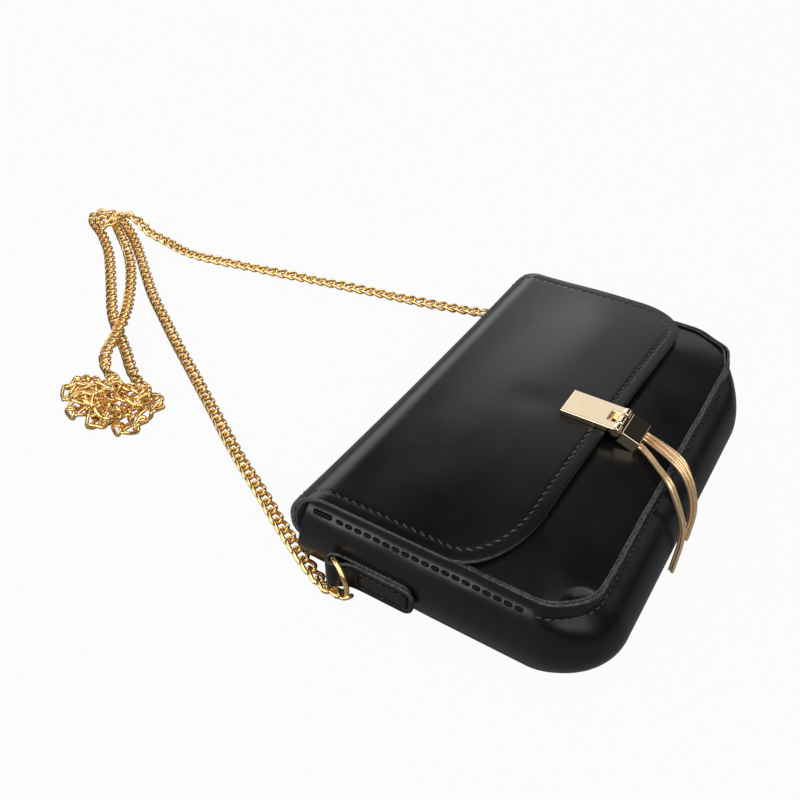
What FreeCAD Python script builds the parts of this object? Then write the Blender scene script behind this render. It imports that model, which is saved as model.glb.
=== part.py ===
"""Chain shoulder bag lying on its back: leather pouch, flap, hinged clasp, tassel and chain strap.

Millimetres. +Z is up and out of the front of the bag, +Y points to the roll at its top, +X to its
right. The floor under the back panel is z = 0 and the origin is below the middle of the bag.
"""

import FreeCAD
import Part
import Sketcher

import math
import os

from FreeCAD import Placement, Rotation, Vector

# Driving dimensions, in millimetres and degrees
SIZES = {
    # Leather and clearances
    "leather": 1.8,
    "lining_thickness": 0.6,
    "lining_gap": 0.2,
    "seat_gap": 0.1,
    "running_gap": 0.3,
    "overrun": 20.0,
    # Pouch, measured at the front seam
    "seam_half_width": 95.0,
    "seam_bottom": 56.0,
    "seam_top": 55.0,
    "panel_top": 48.0,
    "seam_height": 40.0,
    "side_bulge": 6.0,
    "bottom_bulge": 12.0,
    "seam_corner_radius": 15.0,
    "belly_corner_radius": 34.0,
    "mouth_back": 64.0,
    "mouth_back_height": 11.0,
    "back_flange": 8.0,
    "panel_crown": 2.5,
    "welt_width": 1.8,
    "welt_rise": 1.8,
    # Roll at the top, and flap
    "roll_radius": 18.5,
    "roll_centre_y": 49.5,
    "roll_inset": 2.6,
    "ramp_angle": 20.0,
    "flap_rise": 5.0,
    "flap_leather": 2.0,
    "flap_lining": 0.8,
    "flap_overhang": 2.8,
    "flap_reach": 25.5,
    "flap_corner_radius": 29.0,
    "flap_crown": 4.2,
    "flap_lining_margin": 2.5,
    # Clasp plate, pin and tassel block
    "plate_width": 15.5,
    "plate_on_flap": 18.9,
    "plate_gap": 0.2,
    "plate_thickness": 2.6,
    "plate_edge_radius": 0.5,
    "fork_width": 6.4,
    "fork_depth": 5.2,
    "pin_overhang": 5.5,
    "pin_radius": 0.75,
    "pin_running_gap": 0.05,
    "knuckle_radius": 1.9,
    "post_radius": 1.2,
    "post_spacing": 14.0,
    "block_width": 14.0,
    "block_start": 2.4,
    "block_length": 8.5,
    "block_above_pin": 1.8,
    "block_below_pin": 4.0,
    "block_edge_radius": 0.3,
    "block_pitch": 20.0,
    "arm_radius": 1.6,
    "strand_diameter": 1.4,
    "strand_spacing": 1.75,
    "strand_lead": 2.6,
    # Magnetic snap
    "snap_setback": 9.5,
    "socket_radius": 7.0,
    "socket_height": 2.6,
    "socket_bore_radius": 3.4,
    "stud_radius": 2.4,
    "stud_plate_radius": 6.5,
    "stud_plate_thickness": 0.5,
    "stud_entry": 1.2,
    # Side tabs and rings
    "tab_leather": 1.6,
    "tab_width": 13.0,
    "tab_low_y": 8.6,
    "tab_high_y": 40.5,
    "tab_corner_radius": 5.0,
    "loop_y": 43.5,
    "loop_radius": 3.6,
    "loop_height": 12.5,
    "ring_radius": 9.6,
    "ring_wire": 2.2,
    "ring_lean": 24.0,
    # Chain
    "link_pitch": 6.4,
    "link_slack": 0.8,
    "link_width": 7.0,
    "link_wire": 1.4,
    "chain_layer": 5.9,
    "heap_half_width": 18.5,
    "heap_half_length": 23.0,
    "heap_x": -66.5,
    "heap_y": 211.5,
}

# Formulas for levels and places that several pieces share
FLAP_TOP = "seam_height + flap_rise + flap_crown"
PIN_LEVEL = f"{FLAP_TOP} + plate_gap + plate_thickness - knuckle_radius"
PLATE_TOP_Y = "plate_on_flap - flap_reach"
PIN_Y = "0 - flap_reach - pin_overhang"
SNAP_Y = "snap_setback - flap_reach"

# How far the gusset bulges, by height, as shares of the pouch height and of the bulge
BULGE_SHARES = [(0.0, 0.02), (0.13, 0.48), (0.4, 1.0), (0.72, 0.7), (1.0, 0.0)]
# How the corner radius goes from the seam's to the belly's over the same heights
CORNER_SHARES = [0.5, 0.85, 1.0, 0.6, 0.0]
# Crown of the front panel by place between its bottom and its top edge
PANEL_CROWN_SHARES = [(0.0, 0.08), (0.3, 0.8), (0.6, 1.0), (1.0, 0.6)]
# Crown of the flap by place between its free edge and the roll
FLAP_CROWN_SHARES = [(0.0, 0.97), (0.2, 1.0), (0.4, 0.93), (0.7, 0.45), (1.0, 0.04)]
# Middle of the half turn of the roll where its two halves meet
ROLL_MEETING_SHARE = 0.5
# Part of the ring where its end link hangs, as an angle from the loop towards the floor
RING_LINK_ANGLE = 30.0
# Turns of the heap, its smallest loop as a share of the largest, and where it climbs a layer
HEAP_START_ANGLE = 10.0
HEAP_TURN_ANGLE = 1000.0
HEAP_INNER_SHARE = 0.53
HEAP_POLES = 36
HEAP_CLIMB_SHARE = 0.18
# Links over which the roll of the links goes from upright, at a ring, to leaning on the floor
SETTLING_LINKS = 5
LINK_LEAN = 45.0

# Chain route on the floor: x, y and the number of layers below it
NEAR_RUN = [
    (-111.8, 39.6, 0.7), (-113.6, 46.5, 0.3), (-111.8, 54.0, 0.0), (-107.0, 60.6, 0.0),
    (-101.0, 66.5, 0.0), (-94.8, 74.0, 0.0),
    (-86.1, 86.1, 0.0), (-76.8, 103.6, 0.0), (-63.0, 127.8, 0.0), (-41.0, 162.2, 0.0),
    (-16.0, 201.5, 0.0), (12.9, 246.7, 0.0), (32.4, 277.3, 0.0), (51.0, 303.8, 0.0),
]
LEFT_STRAND = [
    (60.5, 321.0, 0.0), (67.3, 335.0, 0.0), (70.6, 347.0, 0.0), (67.2, 357.8, 0.0),
    (58.0, 362.0, 0.0), (49.2, 357.6, 0.0), (46.0, 347.5, 0.0), (45.0, 335.5, 0.0),
    (41.0, 322.5, 0.0), (30.0, 309.5, 0.0), (15.5, 293.9, 0.0), (-14.4, 261.8, 0.0),
    (-24.5, 246.8, 0.0), (-36.5, 231.0, 0.0), (-45.5, 222.0, 0.0),
]
RIGHT_STRAND = [
    (-53.0, 237.5, 1.0), (-39.5, 240.5, 1.0), (-24.8, 247.3, 1.0), (-11.4, 256.9, 1.0),
    (3.0, 268.0, 0.5), (17.8, 279.6, 0.0), (34.0, 294.5, 0.0), (45.5, 308.0, 0.3),
    (52.0, 320.0, 1.0), (55.8, 331.0, 1.0), (58.0, 341.0, 1.0), (61.5, 351.5, 1.0),
    (70.0, 356.5, 1.0), (78.6, 352.5, 1.0), (81.0, 343.0, 1.0), (77.5, 332.0, 1.0),
    (72.0, 320.0, 0.9),
]
FAR_RUN = [
    (67.0, 305.0, 0.15), (63.5, 284.8, 0.0), (65.6, 266.4, 0.0), (71.4, 238.8, 0.0),
    (79.8, 198.7, 0.0), (88.0, 160.2, 0.0), (94.9, 122.5, 0.0), (102.1, 93.1, 0.0),
    (107.5, 74.0, 0.0), (111.5, 61.0, 0.0), (113.7, 53.0, 0.0), (113.7, 46.0, 0.3),
    (111.8, 39.6, 0.7),
]

# Tassel: routes of the middle strand of each bundle after it leaves the block
UPPER_BUNDLE = [
    (0.9, -47.0, 44.1), (-1.6, -52.5, 44.0), (-4.6, -58.3, 43.3), (-6.8, -63.4, 39.4),
    (-8.0, -67.2, 32.5), (-8.3, -69.6, 24.5), (-8.6, -70.2, 15.0), (-9.8, -70.0, 5.5),
]
LOWER_BUNDLE = [
    (-7.6, -46.8, 44.1), (-11.0, -52.2, 44.0), (-14.6, -58.0, 43.4), (-17.4, -63.2, 39.4),
    (-19.4, -67.2, 32.5), (-20.2, -69.8, 24.5), (-19.6, -70.4, 15.0), (-18.2, -70.2, 5.5),
]
UPPER_EXIT_X = 2.5
LOWER_EXIT_X = -5.0
UPPER_STRANDS = 5
LOWER_STRANDS = 3
ARC_SHARE = 0.45


class Sizes:
    """Reads the driving dimensions back from the spreadsheet by their aliases."""

    def __init__(self, sheet):
        self._sheet = sheet

    def __getattr__(self, alias):
        return float(self._sheet.get(alias))


def make_sheet(doc):
    """Write every driving dimension to its own aliased cell."""
    sheet = doc.addObject("Spreadsheet::Sheet", "Sizes")
    for row, (alias, value) in enumerate(SIZES.items(), start=1):
        sheet.set(f"A{row}", alias)
        sheet.set(f"B{row}", str(value))
        sheet.setAlias(f"B{row}", alias)
    doc.recompute()
    return sheet


doc = FreeCAD.newDocument("ChainShoulderBag")
s = Sizes(make_sheet(doc))
nodes = []


def keep(obj, label):
    """Label a finished sub-part and put it on the list of parts."""
    obj.Label = label
    nodes.append(obj)
    return obj


def bind(obj, formulas):
    """Bind properties to formulas of the spreadsheet, with bare aliases as names."""
    for prop, formula in formulas.items():
        words = [f"Sizes.{w}" if w in SIZES else w for w in formula.split()]
        obj.setExpression(prop, " ".join(words))
    return obj


def place(corner):
    """Formulas for a position."""
    return {f"Placement.Base.{axis}": formula for axis, formula in zip("xyz", corner)}


def make_box(name, corner, lengths):
    """Parametric box from its low corner and its three lengths."""
    box = doc.addObject("Part::Box", name)
    return bind(box, {**dict(zip(("Length", "Width", "Height"), lengths)), **place(corner)})


def make_cylinder(name, radius, height, base, direction):
    """Parametric cylinder that stands on its base and points along a direction."""
    cylinder = doc.addObject("Part::Cylinder", name)
    cylinder.Placement = Placement(Vector(), Rotation(Vector(0, 0, 1), direction))
    return bind(cylinder, {"Radius": radius, "Height": height, **place(base)})


def make_fuse(name, shapes):
    """Union of several document objects."""
    fuse = doc.addObject("Part::MultiFuse", name)
    fuse.Shapes = shapes
    return fuse


def make_cut(name, base, tool):
    """Difference of two document objects."""
    cut = doc.addObject("Part::Cut", name)
    cut.Base = base
    cut.Tool = tool
    return cut


def make_feature(name, shape):
    """Document object for a shape that is worked out from the sizes."""
    feature = doc.addObject("Part::Feature", name)
    feature.Shape = shape
    feature.Placement = Placement()
    return feature


def origin_plane(body, role):
    """One of a body's own origin planes."""
    return next(f for f in body.Origin.OriginFeatures if f.Role == role)


def make_sketch(body, name, role, corners):
    """Closed polygon whose corners are held by formulas, in an origin plane of its body."""
    sketch = body.newObject("Sketcher::SketchObject", name)
    sketch.AttachmentSupport = (origin_plane(body, role), [""])
    sketch.MapMode = "FlatFace"
    count = len(corners)
    start = [Vector(math.cos(a), math.sin(a), 0) for a in (math.tau * i / count for i in range(count))]
    for i in range(count):
        sketch.addGeometry(Part.LineSegment(start[i], start[(i + 1) % count]), False)
    for i in range(count):
        sketch.addConstraint(Sketcher.Constraint("Coincident", i, 2, (i + 1) % count, 1))
    for i, corner in enumerate(corners):
        for kind, formula in zip(("DistanceX", "DistanceY"), corner):
            index = sketch.addConstraint(Sketcher.Constraint(kind, -1, 1, i, 1, 1.0))
            bind(sketch, {f"Constraints[{index}]": formula})
    return sketch


def outline_wire(half_width, bottom, top, radius, height):
    """U outline of the pouch at one height: square at the top, round in the two bottom corners."""
    turn = radius * (1 - math.sqrt(0.5))
    low = [
        Vector(-half_width, -bottom + radius, height),
        Vector(-half_width + turn, -bottom + turn, height),
        Vector(-half_width + radius, -bottom, height),
    ]
    right = [Vector(-p.x, p.y, p.z) for p in reversed(low)]
    top_left = Vector(-half_width, top, height)
    top_right = Vector(half_width, top, height)
    edges = [
        Part.LineSegment(top_left, low[0]),
        Part.Arc(*low),
        Part.LineSegment(low[2], right[0]),
        Part.Arc(*right),
        Part.LineSegment(right[2], top_right),
        Part.LineSegment(top_right, top_left),
    ]
    return Part.Wire([e.toShape() for e in edges])


def side_prism(points, half_width):
    """Prism across the bag from a polygon of y, z points."""
    corners = [Vector(-half_width, y, z) for y, z in points]
    face = Part.Face(Part.makePolygon(corners + corners[:1]))
    return face.extrude(Vector(2 * half_width, 0, 0))


def roll_level():
    """Height of the middle of the roll."""
    return s.seam_height + s.flap_rise - s.roll_radius


def roll_half_width():
    """Half the length of the roll's lower half, which ends just inside the sides of the bag."""
    return s.seam_half_width - s.roll_inset


def flap_half_width():
    """Half the width of the flap and of the roll's upper half, which stand out over the sides."""
    return s.seam_half_width + s.flap_overhang


def roll_point(radius, angle):
    """Point y, z of the roll at an angle, in degrees from straight back."""
    turn = math.radians(angle)
    return (s.roll_centre_y + radius * math.cos(turn), roll_level() + radius * math.sin(turn))


def ramp_start():
    """Place y where the back leaves the floor and slopes up to the roll."""
    y, z = roll_point(s.roll_radius, -90.0 - s.ramp_angle)
    return y - z / math.tan(math.radians(s.ramp_angle))


def above_ramp(inset, levelled):
    """Prism above the sloping back, lifted by an inset, with a slope that may end at the roll."""
    slope = math.tan(math.radians(s.ramp_angle))
    start = ramp_start() - inset * math.tan(math.radians(s.ramp_angle / 2))
    far = s.mouth_back + s.overrun
    low = -s.seam_bottom - s.bottom_bulge - s.overrun
    high = s.seam_height + s.overrun + far
    points = [(low, inset), (start, inset)]
    if levelled:
        rise = roll_point(s.roll_radius, -90.0 - s.ramp_angle)[1]
        points += [(start + rise / slope, inset + rise), (far, inset + rise)]
    else:
        points.append((far, inset + (far - start) * slope))
    points += [(far, high), (low, high)]
    return side_prism(points, s.seam_half_width + s.side_bulge + s.overrun)


def pouch_solid(inset, low, high, top, levelled=False):
    """Bulging block of the pouch, drawn in on all sides by an inset."""
    wires = []
    for (share, bulge), corner in zip(BULGE_SHARES, CORNER_SHARES):
        radius = s.seam_corner_radius + (s.belly_corner_radius - s.seam_corner_radius) * corner
        wires.append(outline_wire(
            s.seam_half_width + s.side_bulge * bulge - inset,
            s.seam_bottom + s.bottom_bulge * bulge - inset,
            top,
            radius - inset,
            low + (high - low) * share,
        ))
    return Part.makeLoft(wires, True, False).common(above_ramp(inset, levelled))


def mouth_cut():
    """Prism that trims the pouch along its slanted mouth."""
    high = s.seam_height + s.overrun
    slope = (s.mouth_back - s.seam_top) / (s.seam_height - s.mouth_back_height)
    front = s.seam_top - slope * (high - s.seam_height)
    back = s.mouth_back + slope * (s.mouth_back_height + s.overrun)
    far = s.mouth_back + s.roll_radius + s.overrun
    points = [(front, high), (back, -s.overrun), (far, -s.overrun), (far, high)]
    return side_prism(points, s.seam_half_width + s.side_bulge + s.overrun)


def roll_zone():
    """Room for the leather of the roll, a tube across the bag below the level of the roll's middle."""
    half = roll_half_width() + s.running_gap
    inner = s.roll_radius - s.flap_leather - s.flap_lining - s.running_gap
    base = Vector(-half, s.roll_centre_y, roll_level())
    across = Vector(1, 0, 0)
    tube = Part.makeCylinder(s.roll_radius + s.running_gap, 2 * half, base, across)
    tube = tube.cut(Part.makeCylinder(inner, 2 * half, base, across))
    far = s.roll_centre_y + s.roll_radius + s.overrun
    near = roll_point(s.roll_radius, -90.0 - s.ramp_angle)[0] - s.running_gap
    below = [(near, -s.overrun), (far, -s.overrun), (far, roll_level()), (near, roll_level())]
    return tube.common(side_prism(below, half))


def pouch_core():
    """Upright prism inside the flanges of the gusset, where the back panel lies."""
    wire = outline_wire(
        s.seam_half_width - s.back_flange,
        s.seam_bottom - s.back_flange,
        s.mouth_back + s.overrun,
        s.seam_corner_radius,
        -s.overrun,
    )
    return Part.Face(wire).extrude(Vector(0, 0, s.seam_height + s.overrun))


def build_gusset():
    """One strip round both sides and the bottom, with a flange that turns under the back panel."""
    top = s.mouth_back + s.overrun
    high = s.seam_height - s.leather
    room = pouch_solid(s.leather, s.leather, high, top + s.overrun, True)
    wall = pouch_solid(0.0, 0.0, high, top, True).cut(room)
    for trim in (pouch_core(), mouth_cut(), roll_zone()):
        wall = wall.cut(trim)
    return keep(make_feature("Gusset", wall), "gusset")


def back_strip(inset, thickness):
    """Sheet along the flat back and up the slope to the roll, as wide as the pouch core."""
    end_angle = -90.0 - s.ramp_angle
    outer = roll_point(s.roll_radius - inset, end_angle)
    inner = roll_point(s.roll_radius - inset - thickness, end_angle)
    half = math.tan(math.radians(s.ramp_angle / 2))
    low = -s.seam_bottom
    points = [
        (low, inset), (ramp_start() - inset * half, inset), outer,
        inner, (ramp_start() - (inset + thickness) * half, inset + thickness), (low, inset + thickness),
    ]
    return side_prism(points, s.seam_half_width)


def build_back_panel():
    """Back of the bag between the flanges, from the bottom to where the roll begins."""
    sheet = back_strip(0.0, s.leather).common(pouch_core())
    return keep(make_feature("BackPanel", sheet), "back_panel")


def arched_sheet(stations, half_width, edge_height, thickness):
    """Sheet lofted through arched bands, each a place y and the crown of its arch."""
    wires = []
    for y, crown in stations:
        upper = [(-half_width, edge_height), (0.0, edge_height + crown), (half_width, edge_height)]
        lower = [(x, z - thickness) for x, z in reversed(upper)]
        over = [Vector(x, y, z) for x, z in upper]
        under = [Vector(x, y, z) for x, z in lower]
        edges = [
            Part.Arc(*over),
            Part.LineSegment(over[2], under[0]),
            Part.Arc(*under),
            Part.LineSegment(under[2], over[0]),
        ]
        wires.append(Part.Wire([e.toShape() for e in edges]))
    return Part.makeLoft(wires, True, False)


def panel_prism(offset, low, high):
    """Upright prism over the outline of the front seam, grown by an offset."""
    wire = outline_wire(
        s.seam_half_width + offset,
        s.seam_bottom + offset,
        s.panel_top,
        s.seam_corner_radius + offset,
        low,
    )
    return Part.Face(wire).extrude(Vector(0, 0, high - low))


def build_front_panel():
    """Domed front, sewn to the gusset along its rim."""
    length = s.seam_bottom + s.panel_top
    stations = [
        (-s.seam_bottom + share * length, crown * s.panel_crown)
        for share, crown in PANEL_CROWN_SHARES
    ]
    sheet = arched_sheet(stations, s.seam_half_width, s.seam_height, s.leather)
    prism = panel_prism(0.0, s.seam_height - s.overrun, s.seam_height + s.overrun)
    return keep(make_feature("FrontPanel", sheet.common(prism)), "front_panel")


def build_welt():
    """Raised raw edge where front panel and gusset are sewn together."""
    low = s.seam_height - s.leather
    high = s.seam_height + s.welt_rise
    end = s.roll_centre_y - s.roll_radius / 2
    far = s.panel_top + s.overrun
    ring = panel_prism(s.welt_width, low, high).cut(panel_prism(0.0, low - s.overrun, high + s.overrun))
    trim = side_prism(
        [(end, low - s.overrun), (far, low - s.overrun), (far, high + s.overrun), (end, high + s.overrun)],
        s.seam_half_width + s.overrun,
    )
    return keep(make_feature("FrontWelt", ring.cut(trim)), "front_welt")


def build_lining():
    """Cloth pocket inside the leather, open at the mouth."""
    outer = s.leather + s.lining_gap
    inner = outer + s.lining_thickness
    high = s.seam_height - s.leather - s.lining_gap
    top = s.mouth_back + s.overrun
    room = pouch_solid(inner, inner, high - s.lining_thickness, top + s.overrun)
    pocket = pouch_solid(outer, outer, high, top).cut(room)
    for trim in (mouth_cut(), roll_zone()):
        pocket = pocket.cut(trim)
    return keep(make_feature("Lining", pocket), "lining")


def build_roll(label, start_share, end_share, half_width):
    """Part of the leather that rolls from the back over to the flap."""
    sweep = 180.0 + s.ramp_angle
    first = -90.0 - s.ramp_angle
    angles = [first + sweep * share for share in (start_share, (start_share + end_share) / 2, end_share)]
    inner_radius = s.roll_radius - s.flap_leather - s.flap_lining
    outer = [Vector(-half_width, *roll_point(s.roll_radius, a)) for a in angles]
    inner = [Vector(-half_width, *roll_point(inner_radius, a)) for a in reversed(angles)]
    edges = [
        Part.Arc(*outer),
        Part.LineSegment(outer[2], inner[0]),
        Part.Arc(*inner),
        Part.LineSegment(inner[2], outer[0]),
    ]
    face = Part.Face(Part.Wire([e.toShape() for e in edges]))
    sector = face.extrude(Vector(2 * half_width, 0, 0))
    return keep(make_feature(label.title().replace("_", ""), sector), label)


def flap_prism(margin):
    """Upright prism over the flap's outline, round in its two free corners."""
    radius = s.flap_corner_radius - margin
    half = flap_half_width() - margin
    free = -s.flap_reach + margin
    turn = radius * (1 - math.sqrt(0.5))
    low = s.seam_height - s.overrun
    left = [
        Vector(-half, s.roll_centre_y, low),
        Vector(-half, free + radius, low),
        Vector(-half + turn, free + turn, low),
        Vector(-half + radius, free, low),
    ]
    right = [Vector(-p.x, p.y, p.z) for p in left]
    edges = [
        Part.LineSegment(left[0], left[1]),
        Part.Arc(left[1], left[2], left[3]),
        Part.LineSegment(left[3], right[3]),
        Part.Arc(right[3], right[2], right[1]),
        Part.LineSegment(right[1], right[0]),
        Part.LineSegment(right[0], left[0]),
    ]
    face = Part.Face(Part.Wire([e.toShape() for e in edges]))
    return face.extrude(Vector(0, 0, 2 * s.overrun + s.flap_crown))


def flap_sheet(depth, thickness, margin):
    """One layer of the flap, so deep below its face, trimmed to its outline less a margin."""
    length = s.roll_centre_y + s.flap_reach
    stations = [
        (-s.flap_reach + share * length, crown * s.flap_crown)
        for share, crown in FLAP_CROWN_SHARES
    ]
    edge = roll_level() + s.roll_radius - depth
    sheet = arched_sheet(stations, flap_half_width(), edge, thickness)
    return sheet.common(flap_prism(margin))


def flap_top():
    """Highest level of the flap's face, on which the clasp plate sits."""
    return roll_level() + s.roll_radius + s.flap_crown


def post_places():
    """Places y of the two posts that hold the clasp plate on the flap."""
    middle = s.plate_on_flap / 2 - s.flap_reach
    return [middle - s.post_spacing / 2, middle + s.post_spacing / 2]


def build_flap():
    """Flap leather with the two holes for the posts of the plate, and its lining."""
    leather = flap_sheet(0.0, s.flap_leather, 0.0)
    for y in post_places():
        foot = Vector(0, y, flap_top() - s.overrun)
        leather = leather.cut(Part.makeCylinder(s.post_radius + s.seat_gap, 2 * s.overrun, foot))
    keep(make_feature("Flap", leather), "flap")
    lining = flap_sheet(s.flap_leather + s.seat_gap, s.flap_lining - s.seat_gap, s.flap_lining_margin)
    keep(make_feature("FlapLining", lining), "flap_lining")


def build_clasp_plate():
    """Plate with a forked end, two knuckles for the pin and two posts through the flap."""
    body = doc.addObject("PartDesign::Body", "PlateBody")
    half = "plate_width / 2"
    fork = "fork_width / 2"
    corners = [
        (f"0 - {half}", PLATE_TOP_Y), (f"0 - {half}", PIN_Y),
        (f"0 - {fork}", PIN_Y), (f"0 - {fork}", f"{PIN_Y} + fork_depth"),
        (fork, f"{PIN_Y} + fork_depth"), (fork, PIN_Y),
        (half, PIN_Y), (half, PLATE_TOP_Y),
    ]
    sketch = make_sketch(body, "PlateOutline", "XY_Plane", corners)
    pad = body.newObject("PartDesign::Pad", "PlatePad")
    pad.Profile = sketch
    bind(pad, {"Length": "plate_thickness"})
    level = f"{FLAP_TOP} + plate_gap"
    bind(body, {"Placement.Base.z": level})
    doc.recompute()
    rounded = doc.addObject("Part::Fillet", "PlateRounded")
    rounded.Base = body
    rounded.Edges = [
        (i + 1, s.plate_edge_radius, s.plate_edge_radius)
        for i, edge in enumerate(body.Shape.Edges)
        if edge.BoundBox.ZLength < s.seat_gap and edge.CenterOfMass.z > body.Shape.CenterOfGravity.z
    ]
    pieces = [rounded]
    for side, start in (("Left", f"0 - {half}"), ("Right", fork)):
        pieces.append(make_cylinder(
            f"{side}Knuckle", "knuckle_radius", f"{half} - {fork}",
            (start, PIN_Y, PIN_LEVEL), Vector(1, 0, 0),
        ))
    middle = "plate_on_flap / 2 - flap_reach"
    for name, sign in (("LowPost", "-"), ("HighPost", "+")):
        pieces.append(make_cylinder(
            name, "post_radius", "flap_leather + plate_gap - running_gap",
            ("0", f"{middle} {sign} post_spacing / 2",
             f"{level} - flap_leather - plate_gap + running_gap"), Vector(0, 0, 1),
        ))
    hole = make_cylinder(
        "PinHole", "pin_radius", "plate_width + overrun",
        (f"0 - {half} - overrun / 2", PIN_Y, PIN_LEVEL), Vector(1, 0, 0),
    )
    keep(make_cut("ClaspPlate", make_fuse("PlateWithKnuckles", pieces), hole), "clasp_plate")
    pin = make_cylinder(
        "HingePin", "pin_radius", "plate_width", (f"0 - {half}", PIN_Y, PIN_LEVEL), Vector(1, 0, 0)
    )
    keep(pin, "hinge_pin")


def pin_height():
    """Level of the hinge pin's axis."""
    return flap_top() + s.plate_gap + s.plate_thickness - s.knuckle_radius


def build_block():
    """Hinged block of the tassel, tipped down from the pin, with an arm round the pin."""
    block = make_box(
        "BlockBar",
        ("0 - block_width / 2", "0 - block_start - block_length", "0 - block_below_pin"),
        ("block_width", "block_length", "block_above_pin + block_below_pin"),
    )
    doc.recompute()
    rounded = doc.addObject("Part::Fillet", "BlockRounded")
    rounded.Base = block
    rounded.Edges = [
        (i + 1, s.block_edge_radius, s.block_edge_radius) for i in range(len(block.Shape.Edges))
    ]
    arm_half = "fork_width / 2 - running_gap"
    arm = make_box(
        "ArmBar",
        (f"0 - ( {arm_half} )", "0 - block_start - block_edge_radius", "0 - arm_radius"),
        (f"2 * ( {arm_half} )", "block_start + block_edge_radius", "2 * arm_radius"),
    )
    eye = make_cylinder(
        "ArmEye", "arm_radius", f"2 * ( {arm_half} )", (f"0 - ( {arm_half} )", "0", "0"), Vector(1, 0, 0)
    )
    hole = make_cylinder(
        "ArmHole", "pin_radius + pin_running_gap", "fork_width + overrun",
        ("0 - fork_width / 2 - overrun / 2", "0", "0"), Vector(1, 0, 0),
    )
    cut = make_cut("TasselBlock", make_fuse("BlockWithArm", [rounded, arm, eye]), hole)
    cut.Placement = Placement(Vector(), Rotation(Vector(1, 0, 0), s.block_pitch))
    keep(bind(cut, place(("0", PIN_Y, PIN_LEVEL))), "tassel_block")


def bent_tube(points, diameter):
    """Round tube along straight runs joined by tangent arcs, each as large as its runs allow."""
    edges = []
    radii = []
    start = points[0]
    for before, corner, after in zip(points, points[1:], points[2:]):
        back = (before - corner).normalize()
        onward = (after - corner).normalize()
        half = back.getAngle(onward) / 2
        reach = ARC_SHARE * min(corner.distanceToPoint(before), corner.distanceToPoint(after))
        radius = reach * math.tan(half)
        middle = (back + onward).normalize()
        depth = radius / math.sin(half) - radius
        first = corner + back * reach
        last = corner + onward * reach
        edges.append(Part.LineSegment(start, first).toShape())
        edges.append(Part.Arc(first, corner + middle * depth, last).toShape())
        radii.append(round(radius, 1))
        start = last
    edges.append(Part.LineSegment(start, points[-1]).toShape())
    path = Part.Wire(edges)
    direction = points[1] - points[0]
    section = Part.Wire(Part.makeCircle(diameter / 2, points[0], direction))
    tube = path.makePipeShell([section], True, False)
    ratio = tube.Volume / (math.pi * diameter ** 2 / 4 * path.Length)
    print(f"strand length {path.Length:.1f} volume ratio {ratio:.4f} radii", radii)
    return tube


def block_exit(offset):
    """Point on the end face of the tassel block, and the way out of it."""
    pitch = math.radians(s.block_pitch)
    out = Vector(0, -math.cos(pitch), -math.sin(pitch))
    up = Vector(0, -math.sin(pitch), math.cos(pitch))
    middle = (s.block_above_pin - s.block_below_pin) / 2
    pin = Vector(offset, -s.flap_reach - s.pin_overhang, pin_height())
    return pin + out * (s.block_start + s.block_length) + up * middle, out


def build_strands():
    """Fine strands of the tassel in two bundles, side by side over the seam and down the bottom."""
    number = 0
    bundles = ((UPPER_BUNDLE, UPPER_EXIT_X, UPPER_STRANDS), (LOWER_BUNDLE, LOWER_EXIT_X, LOWER_STRANDS))
    for route, exit_x, count in bundles:
        for i in range(count):
            number += 1
            offset = (i - (count - 1) / 2) * s.strand_spacing
            first, out = block_exit(exit_x + offset)
            points = [first, first + out * s.strand_lead]
            points += [Vector(x + offset, y, z) for x, y, z in route]
            tube = bent_tube(points, s.strand_diameter)
            keep(make_feature(f"Strand{number}", tube), f"tassel_strand_{number}")


def build_snap():
    """Magnetic snap: a socket on the front panel and a stud under the flap."""
    level = "seam_height + panel_crown + seat_gap"
    ring = make_cylinder(
        "SocketBody", "socket_radius", "socket_height", ("0", SNAP_Y, level), Vector(0, 0, 1)
    )
    bore = make_cylinder(
        "SocketBore", "socket_bore_radius", "socket_height",
        ("0", SNAP_Y, f"{level} + seat_gap + stud_plate_thickness"), Vector(0, 0, 1),
    )
    keep(make_cut("SnapSocket", ring, bore), "snap_socket")
    under = f"{FLAP_TOP} - flap_leather - flap_lining - running_gap"
    plate = make_cylinder(
        "StudPlate", "stud_plate_radius", "stud_plate_thickness",
        ("0", SNAP_Y, f"{under} - stud_plate_thickness"), Vector(0, 0, 1),
    )
    stud_low = f"{level} + socket_height - stud_entry"
    stud = make_cylinder(
        "StudPeg", "stud_radius", f"{under} - ( {stud_low} )", ("0", SNAP_Y, stud_low), Vector(0, 0, 1)
    )
    keep(make_fuse("SnapStud", [plate, stud]), "snap_stud")


def loop_x():
    """Distance of a tab's loop from the middle of the bag."""
    return s.seam_half_width + s.side_bulge + s.seat_gap + s.loop_radius


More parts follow.
